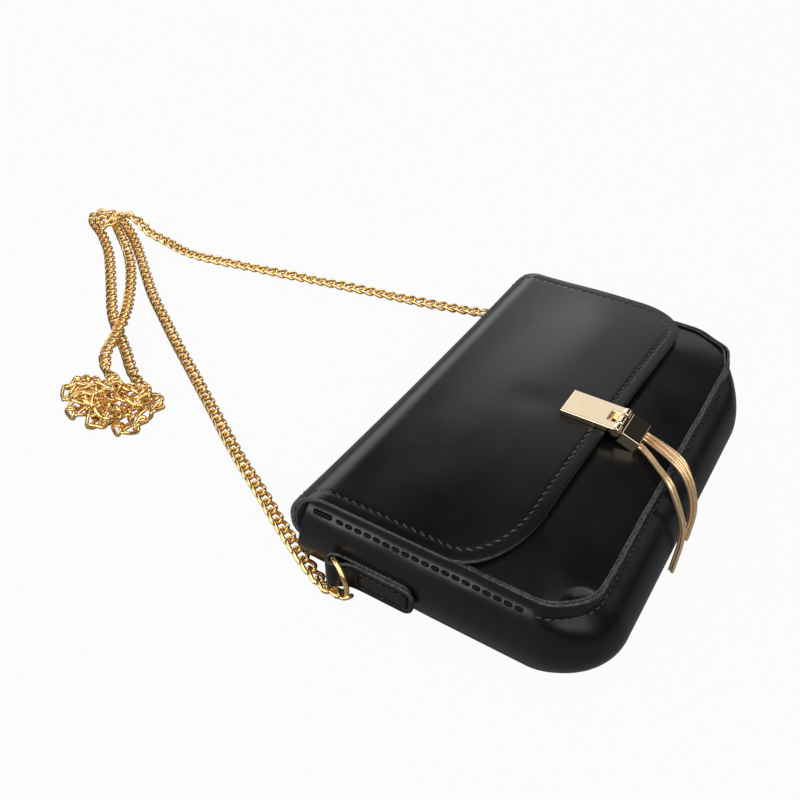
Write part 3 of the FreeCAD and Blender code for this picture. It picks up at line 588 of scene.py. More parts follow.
@dataclass
class Pouch:
    """Gusset, front, raised seam, lining and stitches of the bag."""

    finishes: Finishes
    seam_half_width: float = 95.0
    seam_bottom: float = 56.0
    seam_height: float = 40.0
    panel_top: float = 48.0
    side_bulge: float = 6.0
    bottom_bulge: float = 12.0
    seam_corners: tuple[float, float] = (20.0, 26.0)
    belly_corners: tuple[float, float] = (25.0, 46.0)
    corner_flatness: float = 0.02
    side_steps: int = 60
    corner_steps: int = 34
    seam_start: float = 33.0
    seam_rise: float = 5.0
    seam_waves: tuple[Point, ...] = ((0.12, 7.9, 0.0), (0.06, 3.1, 1.0))
    seam_bob: tuple[float, float] = (0.1, 5.7)
    pucker_place: float = 88.0
    pucker_depth: float = 1.3
    pucker_width: float = 11.0
    pucker_length: float = 4.2
    leather: float = 1.15
    ridge_top: float = 41.6
    welt_width: float = 1.1
    welt_drop: float = 3.0
    mouth_front: float = 59.0
    mouth_slope: float = 0.2
    mouth_back: float = 65.6
    lining_top: float = 41.0
    lining_gap: float = 0.6
    lining_margin: float = 4.0
    lining_back: float = 3.2
    lining_front: float = 3.0
    cloth: float = 0.5
    cloth_rounding: float = 0.1
    ramp_angle: float = 20.0
    ramp_start: float = 18.1
    ramp_softness: float = 5.0
    ramp_top: float = 1.4
    panel_lift: float = 0.4
    panel_crown: float = 3.8
    panel_pillow: float = 40.0
    crown_places: tuple[float, ...] = (0.0, 0.3, 0.5, 0.7, 1.0)
    crown_shares: tuple[float, ...] = (0.85, 1.0, 0.9, 0.6, 0.35)
    dent_place: tuple[float, float] = (-88.5, -53.0)
    dent_depth: float = 3.2
    dent_radius: float = 2.5
    dent_rim: float = 6.0
    ripple: Point = (0.2, 17.0, 0.6)
    ripple_row: float = 44.0
    ripple_width: float = 12.0
    stitch_height: float = 36.0
    tack_rows: tuple[int, int] = (2, 8)
    rounding: float = 0.25

    def bulge_line(self, count: int) -> Array:
        """Section of the gusset from below the back to the raised seam.

        Args:
            count: How many points to give.

        Returns:
            Rows of bulge share at the sides, bulge share at the bottom, inset towards the middle and
            height, from a smooth spline.
        """
        control = np.array([
            (-0.1, -0.1, -7.5, 0.05), (-0.1, -0.1, -4.5, 0.05), (-0.1, -0.1, -2.4, 0.1),
            (-0.06, -0.06, -0.9, 1.4), (0.14, 0.14, 0.0, 3.9), (0.48, 0.48, 0.0, 7.8),
            (0.88, 0.88, 0.0, 12.4), (1.05, 1.05, 0.0, 17.6), (1.03, 1.0, 0.0, 23.2),
            (0.91, 0.74, 0.0, 28.8), (0.67, 0.36, 0.0, 33.0), (0.42, 0.05, 0.0, 35.4),
            (0.26, -0.07, 0.0, 36.6), (0.08, 0.03, 0.0, 38.2), (0.0, 0.0, 0.0, 40.0),
            (0.0, 0.0, 0.0, self.ridge_top),
        ])
        return smooth_line(control, count)

    def slope(self, y: Array) -> Array:
        """Height of the sloping back: level, and a soft bend into a slope."""
        run = y - self.ramp_start
        lead = 4 * self.ramp_softness
        rise = 0.5 * (run + np.sqrt(run**2 + self.ramp_softness**2)) * math.tan(math.radians(self.ramp_angle))
        return np.where(run < -lead, 0.0, rise * smoothstep(run / lead + 1.0))

    def ramp(self, y: Array) -> Array:
        """Height of the gusset's low edge: the slope of the back, levelled off at the ramp's top."""
        return self.ramp_top * np.tanh((self.slope(y) / self.ramp_top) ** 3) ** (1.0 / 3.0)

    def wave(self, path: Array) -> Array:
        """How the raised seam wanders sideways, by length from the middle of the bottom.

        It is the sum of two sines and of a pucker, a cosine that fades out like a bell.
        """
        wander = sum(height * np.sin(path / length + phase) for height, length, phase in self.seam_waves)
        run = path - self.pucker_place
        return wander - self.pucker_depth * bell(run, self.pucker_width) * np.cos(run / self.pucker_length)

    def outline(self, grow: Array, corner: Array, top: Array, seam: Array, lift: Array) -> Array:
        """U outlines of the pouch, from the near mouth round the bottom to the far mouth.

        The near half and the mirrored far half are joined. What takes part in the raised seam then moves
        sideways along its normal by the seam's wander, and up and down by a sine.

        Args:
            grow: How far each outline lies outside the seam, as (sides, bottom) rows per outline.
            corner: Corner radius of each outline, for the near and the far side.
            top: Where each outline ends at the mouth.
            seam: How much each outline takes part in the raised seam, 0 to 1.
            lift: Height of each outline.

        Returns:
            Grid of (points round the outline, outlines, 3).
        """
        near = self.half_outline(grow, corner[0], top, seam)
        far = self.half_outline(grow, corner[1], top, seam) * np.array([-1.0, 1.0])
        flat = np.concatenate([near, far[-2::-1]])
        path = (distances(flat[:, -1]) - distances(near[:, -1])[-1])[:, None]
        ahead = np.gradient(flat, axis=0)
        out = unit(np.stack([-ahead[..., 1], ahead[..., 0]], axis=-1))
        flat = flat + out * (self.wave(path) * seam)[..., None]
        height, length = self.seam_bob
        z = np.broadcast_to(lift, flat.shape[:2]) + height * np.sin(path / length) * seam
        return np.concatenate([flat, z[..., None]], axis=-1)

    def half_outline(self, grow: Array, corner: Array, top: Array, seam: Array) -> Array:
        """Near half of the U outlines, from the mouth to the middle of the bottom.

        Each is a straight side, a corner and a straight bottom. The corner is an arc whose radius is drawn
        in at its middle and let out beside it, by a cosine of four times its angle. That leaves two blunt
        points.

        Args:
            grow: How far each outline lies outside the seam, as (sides, bottom) rows per outline.
            corner: Corner radius of each outline.
            top: Where each outline ends at the mouth.
            seam: How much each outline takes part in the raised seam, 0 to 1.

        Returns:
            Grid of (points along the outline, outlines, 2).
        """
        half = self.seam_half_width + grow[0]
        bottom = self.seam_bottom + grow[1]
        run = np.linspace(0.0, 1.0, self.side_steps)[:, None]
        turn = np.linspace(0.0, np.pi / 2, self.corner_steps)[1:-1, None]
        blunt = 1.0 - self.corner_flatness * seam * np.cos(4 * turn - np.pi) * np.sin(2 * turn)
        side_y = top + (corner - bottom - top) * run
        side_x = np.broadcast_to(-half, side_y.shape)
        corner_x = corner - half - corner * blunt * np.cos(turn)
        corner_y = corner - bottom - corner * blunt * np.sin(turn)
        floor_x = (corner - half) * (1.0 - run)
        floor_y = np.broadcast_to(-bottom, floor_x.shape)
        x = np.concatenate([side_x, corner_x, floor_x])
        y = np.concatenate([side_y, corner_y, floor_y])
        return np.stack([x, y], axis=-1)

    def gusset_grid(self, inset: float, count: int) -> Array:
        """Outer face of the gusset: its section carried round the outlines, sheared up along the back.

        Args:
            inset: How far the face is drawn in.
            count: How many outlines to give.

        Returns:
            Grid of (points round the outline, outlines, 3).
        """
        side_share, share, tuck, height = self.bulge_line(count).T
        layer = self.leather
        grow = np.stack([
            layer + (self.side_bulge - layer) * side_share + tuck - inset,
            layer + (self.bottom_bulge - layer) * share + tuck - inset,
        ])
        sewn, belly = np.array(self.seam_corners)[:, None], np.array(self.belly_corners)[:, None]
        corner = sewn + (belly - sewn) * share + tuck - inset
        top = np.minimum(self.mouth_front + (self.seam_height - height) * self.mouth_slope, self.mouth_back)
        seam = smoothstep((height - self.seam_start) / self.seam_rise)
        grid = self.outline(grow, corner, top, seam, height)
        grid[..., 2] += self.ramp(grid[..., 1]) * (1.0 - height / self.ridge_top)
        return grid

    def build_gusset(self) -> Piece:
        """One strip round both sides and the bottom."""
        grid = self.gusset_grid(0.0, 72)
        return sheet_piece("gusset_leather", grid, self.leather, self.rounding, self.finishes.shaded_seam_sheet())

    def seam_corner(self, x: Array) -> Array:
        """Corner radius of the front seam on the side of a place across the bag."""
        return np.where(x < 0, *self.seam_corners)

    def seam_distance(self, x: Array, y: Array) -> Array:
        """Distance of points inside the front seam to its outline."""
        corner = self.seam_corner(x)
        across = np.abs(x) - (self.seam_half_width - corner)
        along = -y - (self.seam_bottom - corner)
        inside_corner = (across > 0) & (along > 0)
        return np.where(inside_corner, corner - np.hypot(across, along), corner - np.maximum(across, along))

    def width_at(self, across: Array, y: Array) -> Array:
        """Half width of the front at places along the bag, on the side that across lies on."""
        corner = self.seam_corner(across)
        low = np.clip(1.0 - (y + self.seam_bottom) / corner, 0.0, 1.0)
        return self.seam_half_width - corner * (1.0 - np.sqrt(1.0 - low**2))

    def front_height(self, x: Array, y: Array) -> Array:
        """Height of the front at places on it.

        A pillow rises from the seam by a parabola, more or less along the bag. A round dent in the near
        bottom corner and a sine along the bottom are added.
        """
        inside = self.seam_distance(x, y)
        far = np.clip(inside / self.panel_pillow, 0.0, 1.0)
        share = (y + self.seam_bottom) / (self.seam_bottom + self.panel_top)
        crown = np.interp(share, self.crown_places, self.crown_shares)
        pillow = self.panel_crown * crown * (1.0 - (1.0 - far) ** 2)
        reach = np.hypot(x - self.dent_place[0], y - self.dent_place[1])
        dent = -self.dent_depth * (1.0 - smoothstep((reach - self.dent_radius) / self.dent_rim))
        height, length, phase = self.ripple
        ripple = height * np.sin(x / length + phase) * bell(y + self.ripple_row, self.ripple_width)
        return self.seam_height + self.panel_lift + pillow + dent + ripple

    def build_front(self) -> Piece:
        """Pillowed front: rows across the bag whose width follows the rounded bottom corners."""
        tallest = max(self.seam_corners)
        turn = np.linspace(0.0, np.pi / 2, 40)[1:]
        straight = np.linspace(self.panel_top, tallest - self.seam_bottom, 64)
        y = np.concatenate([straight, tallest * (1 - np.sin(turn)) - self.seam_bottom])[:, None]
        across = np.sin(np.linspace(-np.pi / 2, np.pi / 2, 181))
        x = self.width_at(across, y) * across
        y = np.broadcast_to(y, x.shape)
        grid = np.stack([x, y, self.front_height(x, y)], axis=-1)
        return sheet_piece("front_leather", grid, self.leather, self.rounding, self.finishes.shaded_seam_sheet())

    def build_welt(self) -> Piece:
        """Edge of the front turned up beside the gusset's: a profile carried round the seam."""
        wall = (35.6, 37.4, 38.8, 40.0, 40.7, self.ridge_top - 0.3)
        profile = np.array([(self.welt_width, height) for height in wall])
        rim = np.array([
            (self.welt_width, self.ridge_top - 0.3), (0.9, self.ridge_top), (0.25, self.ridge_top),
            (0.04, self.ridge_top - 0.2), (0.04, 38.6),
        ])
        surface = Surface()
        # The rim takes the edge slot: the darker cut edge, painted shade along the seam.
        for line, slot in ((smooth_line(profile, 16), Face.FRONT), (rim, Face.EDGE)):
            inward, height = line.T
            grow = np.stack([-inward, -inward])
            corner = np.array(self.seam_corners)[:, None] - inward
            top = np.full_like(inward, self.panel_top - self.welt_drop)
            grid = self.outline(grow, corner, top, np.ones_like(inward), height)
            surface.add(grid, slot, True)
        return surface.make("front_welt_edge", self.finishes.shaded_seam_sheet())

    def build_lining(self) -> Piece:
        """Cloth pocket: walls inside the gusset that end before the roll, a back and a front."""
        surface = Surface()
        walls = self.gusset_grid(self.leather + self.lining_gap, 40)[9:-9, 4:33]
        surface.add_sheet(walls, self.cloth, self.cloth_rounding)
        across = np.linspace(-1.0, 1.0, 41)
        margin = self.lining_margin
        along = np.linspace(self.lining_top, -self.seam_bottom + margin, 50)
        x = across * (self.width_at(across, along[:, None] - margin) - margin)
        y = along[:, None] + 0.0 * across
        back = np.stack([x, y, self.slope(y) + self.lining_back], axis=-1)
        top = 0.0 * x + self.seam_height - self.lining_front
        front = np.stack([x, np.minimum(y, self.panel_top), top], axis=-1)
        surface.add_sheet(back[:, ::-1], self.cloth, self.cloth_rounding, True)
        surface.add_sheet(front, self.cloth, self.cloth_rounding)
        return surface.make("pocket_lining", [self.finishes.cloth] * 3)

    def build_stitches(self) -> Piece:
        """Stitches through gusset and front below the raised seam.

        Thick ones run down both sides, with a tack at each mouth, and thin ones round the bottom.
        """
        surface = Surface()
        grid = self.gusset_grid(0.0, 160)
        column = int(np.argmin(np.abs(grid[self.side_steps, :, 2] - self.stitch_height)))
        line = grid[:, column]
        up = grid_normals(grid)[:, column]
        near_half = line[:len(line) // 2, 1]
        side = int(np.argmin(np.abs(near_half + self.seam_bottom - self.seam_corners[0])))
        # Thick stitches and tacks are big dark ovals: thread, and painted shade of their holes and the groove
        # under the seam.
        thick = Stitching(pitch=4.3, length=3.9, radius=0.95, height=0.5, sink=0.0, slant_deg=0.0)
        thin = Stitching(pitch=3.3, length=2.2, radius=0.42, height=0.42, sink=0.0, slant_deg=8.0)
        tack = Stitching(pitch=1.6, length=2.8, radius=1.2, height=0.7, sink=0.0, slant_deg=24.0)
        first, last = self.tack_rows
        for flip in (1, -1):
            run, lift = line[::flip], up[::flip]
            tack.add(surface, run[first:last], lift[first:last])
            thick.add(surface, run[last:side], lift[last:side])
        thin.add(surface, line[side:-side], up[side:-side], 1)
        return surface.make("gusset_stitches", [self.finishes.thread_and_hole_shade, self.finishes.thread])

    def build(self) -> None:
        """Build the pouch, attach each piece to the bag and hide the solids it stands for."""
        pieces = {
            self.build_gusset(): ("gusset",),
            self.build_front(): ("front_panel",),
            self.build_welt(): ("front_welt",),
            self.build_lining(): ("lining",),
            self.build_stitches(): (),
        }
        for piece, nodes in pieces.items():
            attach(piece, Body.BAG.value)
            if nodes:
                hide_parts(*nodes)


# Roll and flap


@dataclass
class Flap:
    """Back leather, roll and flap: one long sheet, in two pieces that meet behind the bag."""

    finishes: Finishes
    roll_radius: float = 18.5
    roll_y: float = 49.5
    roll_z: float = 26.5
    roll_half_width: float = 92.4
    ramp_angle: float = 20.0
    meeting_angle: float = -10.0
    reach: float = 25.5
    half_width: float = 97.8
    near_corner: float = 38.0
    far_corner: float = 23.0
    far_stretch: float = 5.0
    corner_along: float = 24.0
    far_stretch_from: float = 70.0
    far_stretch_over: float = 170.0
    roll_skew: tuple[float, float] = (-0.6, -0.0196)
    roll_bow: float = 1.2
    far_narrowing: float = 2.3
    narrowing_length: float = 40.0
    crown: float = 4.2
    crown_reach: float = 0.64
    crown_fall: Point = (0.03, 0.8, 0.2)
    groove: tuple[float, float] = (0.18, 0.9)
    edge_drop: tuple[float, float] = (0.14, 0.8)
    dent: tuple[float, float] = (0.55, 9.0)
    dent_place: tuple[float, float] = (-4.0, 7.0)
    leather: float = 2.0
    lining: float = 0.75
    lining_gap: float = 0.05
    lining_margin: float = 0.5
    lining_rounding: float = 0.15
    back_half_width: float = 87.0
    back_bottom: float = 48.0
    back_corner: float = 15.0
    back_foot: float = 1.0
    back_rise_from: float = 10.0
    roll_widening: tuple[float, float] = (-74.0, 12.0)
    flap_widening: tuple[float, float] = (-62.0, 50.0)
    stitch_inset: float = 5.0
    stitch_start: float = 0.3
    rounding: float = 0.35
    roll_steps: int = 70
    flap_steps: int = 70
    corner_steps: int = 44
    stitch_side_steps: int = 400
    stitch_corner_steps: int = 120

    def roll_length(self) -> float:
        """Length of leather from the meeting line up to the flap."""
        return self.roll_radius * math.radians(90.0 - self.meeting_angle)

    def total_length(self) -> float:
        """Length of leather from the meeting line to the free edge."""
        return self.roll_length() + self.roll_y + self.reach

    def edge_distance(self, along: Array, x: Array) -> Array:
        """Distance of a place on the flap to its edge, to first order in its oval corners."""
        corner = np.where(x < 0, self.near_corner, self.far_corner)
        sideways = (np.abs(x) - self.half_width) / corner + 1.0
        endways = (along - self.total_length()) / self.corner_along + 1.0
        reach = np.maximum(np.hypot(sideways, endways), 1e-6)
        slope = np.hypot(sideways / corner, endways / self.corner_along) / reach
        straight = np.minimum(self.half_width - np.abs(x), self.total_length() - along)
        return np.where((sideways > 0) & (endways > 0), (1.0 - reach) / slope, straight)

    def skewed(self, x: Array) -> Array:
        """How much further out the roll lies at places across it: a line less a parabola."""
        bow = self.roll_bow * (1.0 - (x / self.half_width) ** 2)
        return self.roll_skew[0] + self.roll_skew[1] * x - bow

    def narrowed(self, x: Array) -> Array:
        """How much the far side is drawn in at places across the roll: by a third power."""
        return self.far_narrowing * np.maximum(x / self.half_width, 0.0) ** 3

    def face(self, along: Array, x: Array) -> Array:
        """Face of roll and flap at lengths along it and places across it.

        On the roll a point goes round its circle. On the flap it goes straight to the free edge, lifted
        by a crown that eases in with the length and falls off with the square of x. A groove under the
        stitches, a drop at the edge and a shallow dent beside the clasp are taken off. The far side is
        drawn in at the roll, and stretched to the free edge.

        Args:
            along: Lengths from the meeting line.
            x: Places across the flap.

        Returns:
            Points, one per place.
        """
        quarter = math.radians(90.0 - self.meeting_angle)
        turn = math.radians(self.meeting_angle) + np.minimum(along / self.roll_radius, quarter)
        past = np.maximum(along - self.roll_length(), 0.0)
        y = self.roll_y + (self.roll_radius + self.skewed(x)) * np.cos(turn) - past
        z = self.roll_z + self.roll_radius * np.sin(turn)
        length = self.roll_y + self.reach
        fall, fall_from, fall_over = self.crown_fall
        rise = smoothstep(past / length / self.crown_reach)
        rise = rise - fall * smoothstep((past / length - fall_from) / fall_over)
        z = z + self.crown * rise * (1.0 - (x / self.half_width) ** 2)
        inside = self.edge_distance(along, x)
        sunk = self.groove[0] * bell(inside - self.stitch_inset, self.groove[1])
        sunk = sunk + self.edge_drop[0] * np.exp(-np.maximum(inside, 0.0) / self.edge_drop[1])
        reach = np.hypot(x - self.dent_place[0], y - self.dent_place[1])
        dent = self.dent[0] * bell(reach, self.dent[1]) * (past > 0)
        z = z - (sunk + dent) * np.sin(turn)
        y = y - sunk * np.cos(turn)
        far = smoothstep((x + self.far_stretch_from) / self.far_stretch_over)
        y = y - self.far_stretch * past / length * far
        narrowed = self.narrowed(x) * (1.0 - smoothstep(past / self.narrowing_length))
        return np.stack([x - narrowed, y, z], axis=-1)

    def normals(self, along: Array, x: Array) -> Array:
        """Outward normals of the face, from its slopes along and across."""
        step = 0.5
        forward = self.face(along + step, x) - self.face(along - step, x)
        sideways = self.face(along, x + step) - self.face(along, x - step)
        return unit(np.cross(sideways, forward))

    def flap_grid(self, margin: float) -> Array:
        """Grid over roll and flap, drawn in from its edges by a margin."""
        end = self.total_length() - margin
        turn = np.linspace(0.0, np.pi / 2, self.corner_steps)[1:]
        bend = self.corner_along - margin
        straight = np.concatenate([
            np.linspace(0.0, self.roll_length(), self.roll_steps)[:-1],
            np.linspace(self.roll_length(), end - bend, self.flap_steps),
        ])
        along = np.concatenate([straight, end - bend + bend * np.sin(turn)])
        across = np.linspace(-1.0, 1.0, 201)
        across = np.sign(across) * (1.0 - (1.0 - np.abs(across)) ** 1.25)
        corner = np.where(across < 0, self.near_corner, self.far_corner) - margin
        narrow = np.concatenate([np.zeros(len(straight)), 1 - np.cos(turn)])[:, None] * corner
        x = (self.half_width - margin - narrow) * across
        return self.face(np.broadcast_to(along[:, None], x.shape), x)

    def build_flap(self) -> Piece:
        """Flap leather with its half of the roll."""
        grid = self.flap_grid(0.0)
        return sheet_piece("flap_leather", grid, self.leather, self.rounding, self.finishes.sheet())

    def build_lining(self) -> Piece:
        """Lining below the flap: the flap's grid, moved in by the leather's thickness."""
        grid = self.flap_grid(self.lining_margin)
        grid = grid - grid_normals(grid) * (self.leather + self.lining_gap)
        materials = [self.finishes.cloth, self.finishes.cloth, self.finishes.edge]
        return sheet_piece("flap_lining_sheet", grid, self.lining, self.lining_rounding, materials)

    def build_stitches(self) -> Piece:
        """Stitches round the flap, a fixed distance inside its edge."""
        sides, corners = self.stitch_side_steps, self.stitch_corner_steps
        start = self.roll_length() * self.stitch_start
        end = self.total_length() - self.stitch_inset
        high = self.corner_along - self.stitch_inset
        down = np.linspace(start, end - high, sides)
        turn = np.linspace(0.0, np.pi / 2, corners)[1:]
        half = self.half_width - self.stitch_inset
        rows = []
        for side, corner in ((Side.NEAR, self.near_corner), (Side.FAR, self.far_corner)):
            wide = corner - self.stitch_inset
            flat = np.linspace(half - wide, 0.0, corners + 1)[1:]
            bend = half - wide + wide * np.cos(turn)
            rows.append(side * np.concatenate([np.full(sides, half), bend, flat]))
        along = np.concatenate([down, end - high + high * np.sin(turn), np.full(corners, end)])
        along = np.concatenate([along, along[-2::-1]])
        x = np.concatenate([rows[0], rows[1][-2::-1]])
        surface = Surface()
        stitching = Stitching(pitch=3.8, length=2.9, radius=0.44, height=0.44, sink=0.05, slant_deg=24.0)
        stitching.add(surface, self.face(along, x), self.normals(along, x))
        return surface.make("flap_stitches", [self.finishes.thread])

    def back_line(self) -> tuple[Array, Array]:
        """Line of the back from its bottom to the meeting line.

        The line lies on the floor, rises softly to its foot and goes round an arc that meets the circle
        of the roll in the same direction.

        Returns:
            Rows of y and z, and the angle on the arc in degrees (-180 before it).
        """
        turn = math.radians(self.meeting_angle)
        meet_y = self.roll_y + self.roll_radius * math.cos(turn)
        meet_z = self.roll_z + self.roll_radius * math.sin(turn)
        radius = (meet_z - self.back_foot) / (1.0 + math.sin(turn))
        middle_y = meet_y - radius * math.cos(turn)
        middle_z = meet_z - radius * math.sin(turn)
        angle = np.linspace(-90.0, self.meeting_angle, self.roll_steps)
        arc_turn = np.radians(angle)
        arc = np.stack([middle_y + radius * np.cos(arc_turn), middle_z + radius * np.sin(arc_turn)], axis=1)
        flat = np.linspace(-self.back_bottom, middle_y, 80)[:-1]
        rise = self.back_foot * smoothstep((flat - self.back_rise_from) / (middle_y - self.back_rise_from))
        line = np.concatenate([np.stack([flat, rise], axis=1), arc])
        return line, np.concatenate([np.full(len(flat), -180.0), angle])

    def build_back(self) -> Piece:
        """Back of the bag and its half of the roll: the back's line, carried across the bag.

        It widens in two steps on the way round the roll, and its bottom corners are quarter circles.
        """
        line, angle = self.back_line()
        on_roll, on_flap = (
            smoothstep((angle - start) / over) for start, over in (self.roll_widening, self.flap_widening))
        wide = self.back_half_width + (self.roll_half_width - self.back_half_width) * on_roll
        wide = wide + (self.half_width - self.roll_half_width) * on_flap
        up = np.clip((line[:, 0] + self.back_bottom) / self.back_corner, 0.0, 1.0)
        rounded = wide - self.back_corner * (1.0 - np.sqrt(1.0 - (1.0 - up) ** 2))
        wide = np.where(line[:, 0] < 0, rounded, wide)
        across = np.linspace(-1.0, 1.0, 81)
        x = wide[:, None] * across
        out = np.maximum(np.cos(np.radians(angle)), 0.0)[:, None]
        y = line[:, :1] + self.skewed(x) * out
        x = x - self.narrowed(x) * out
        grid = np.stack([x, y, line[:, 1:] + 0.0 * x], axis=-1)
        thickness = self.leather + self.lining
        return sheet_piece("back_leather", grid, thickness, self.rounding, self.finishes.lined_sheet())

    def build(self) -> None:
        """Build back, roll and flap, and hide the solids that they stand for."""
        back = self.build_back()
        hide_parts("back_panel", "roll_lower")
        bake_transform(back)
        flap = self.build_flap()
        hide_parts("flap", "roll_upper")
        lining = self.build_lining()
        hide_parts("flap_lining")
        for piece in (flap, lining, self.build_stitches()):
            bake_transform(piece)


# Side tabs and rings


@dataclass
class SideTab:
    """Strap folded round the ring's bar and sewn to the side of the bag."""

    finishes: Finishes
    side: Side
    face_x: float = 100.6
    leather: float = 1.55
    width: float = 13.0
    middle_z: float = 15.5
    low_y: float = 7.6
    end_corner: float = 5.0
    loop_y: float = 43.5
    loop_out: float = 7.2
    stitch_inset: float = 2.6
    stitch_top: float = 33.0
    groove: float = 0.5
    groove_width: float = 0.7
    outer_from: float = 0.6
    rounding: float = 0.45

    def strap_line(self) -> Array:
        """Outer face of the folded strap seen from above: up along the bag, round and down again."""
        outer = 2 * self.leather
        control = np.array([
            (0.0, self.low_y + 1.5), (0.0, 24.0), (0.0, 36.0), (0.1, self.loop_y), (1.4, 47.0),
            (4.4, 47.6), (self.loop_out, 45.6), (self.loop_out + 0.1, 42.0), (outer + 1.6, 39.0),
            (outer + 0.1, 36.0), (outer, 30.0), (outer, 20.0), (outer, self.low_y),
        ])
        line = smooth_line(control, 400)
        return points_at(line, np.linspace(0.0, distances(line)[-1], 240))

    def build_strap(self) -> Piece:
        """Folded strap: its line carried across the width, drawn in to round corners at both ends."""
        line = self.strap_line()
        length = distances(line)
        to_end = np.minimum(length, length[-1] - length)
        short = np.clip(1.0 - to_end / self.end_corner, 0.0, 1.0)
        half = self.width / 2 - self.end_corner * (1.0 - np.sqrt(1.0 - short**2))
        across = np.linspace(-1.0, 1.0, 49)
        z = self.middle_z + half[:, None] * across
        x = self.side * (self.face_x + line[:, :1] + 0.0 * across)
        y = line[:, 1:] + 0.0 * across
        outer = (length > self.outer_from * length[-1])[:, None]
        border = np.maximum(np.abs(z - self.middle_z) - self.width / 2, self.low_y - y) + self.stitch_inset
        sewn = bell(np.maximum(border, y - self.stitch_top), self.groove_width) * outer
        grid = np.stack([x - self.side * self.groove * sewn, y, z], axis=-1)
        return sheet_piece(f"{self.side.name.lower()}_strap", grid, self.leather, self.rounding,
                           self.finishes.shaded_seam_sheet(), self.side is Side.FAR)

    def build_stitches(self) -> Piece:
        """Stitched rectangle on the outer layer of the strap."""
        half = self.width / 2 - self.stitch_inset
        low = self.low_y + self.stitch_inset
        corners = np.array([
            (self.stitch_top, -half), (low + 2.5, -half), (low + 0.6, -half + 0.6), (low, -half + 2.5),
            (low, half - 2.5), (low + 0.6, half - 0.6), (low + 2.5, half), (self.stitch_top, half),
            (self.stitch_top, -half),
        ])
        flat = points_at(corners, np.linspace(0.0, distances(corners)[-1], 300))
        x = np.full(len(flat), self.side * (self.face_x + 2 * self.leather))
        line = np.stack([x, flat[:, 0], self.middle_z + flat[:, 1]], axis=1)
        up = np.tile([float(self.side), 0.0, 0.0], (len(line), 1))
        surface = Surface()
        stitching = Stitching(pitch=2.9, length=2.7, radius=0.6, height=0.5, sink=0.4, slant_deg=3.0)
        stitching.add(surface, line, up)
        return surface.make(f"{self.side.name.lower()}_strap_stitches", [self.finishes.thread_and_hole_shade])

    def build(self) -> None:
        """Build the strap and dress its ring."""
        name = self.side.name.lower()
        strap = self.build_strap()
        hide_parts(f"{name}_tab")
        for piece in (strap, self.build_stitches()):
            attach(piece, Body.BAG.value)
        dress(f"{name}_ring", self.finishes.chain_gold)


def dress(node: str, material: Material) -> None:
    """Give a node that shows its own solid a better material."""
    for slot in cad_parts[node].material_slots:
        slot.material = material


# Clasp and tassel


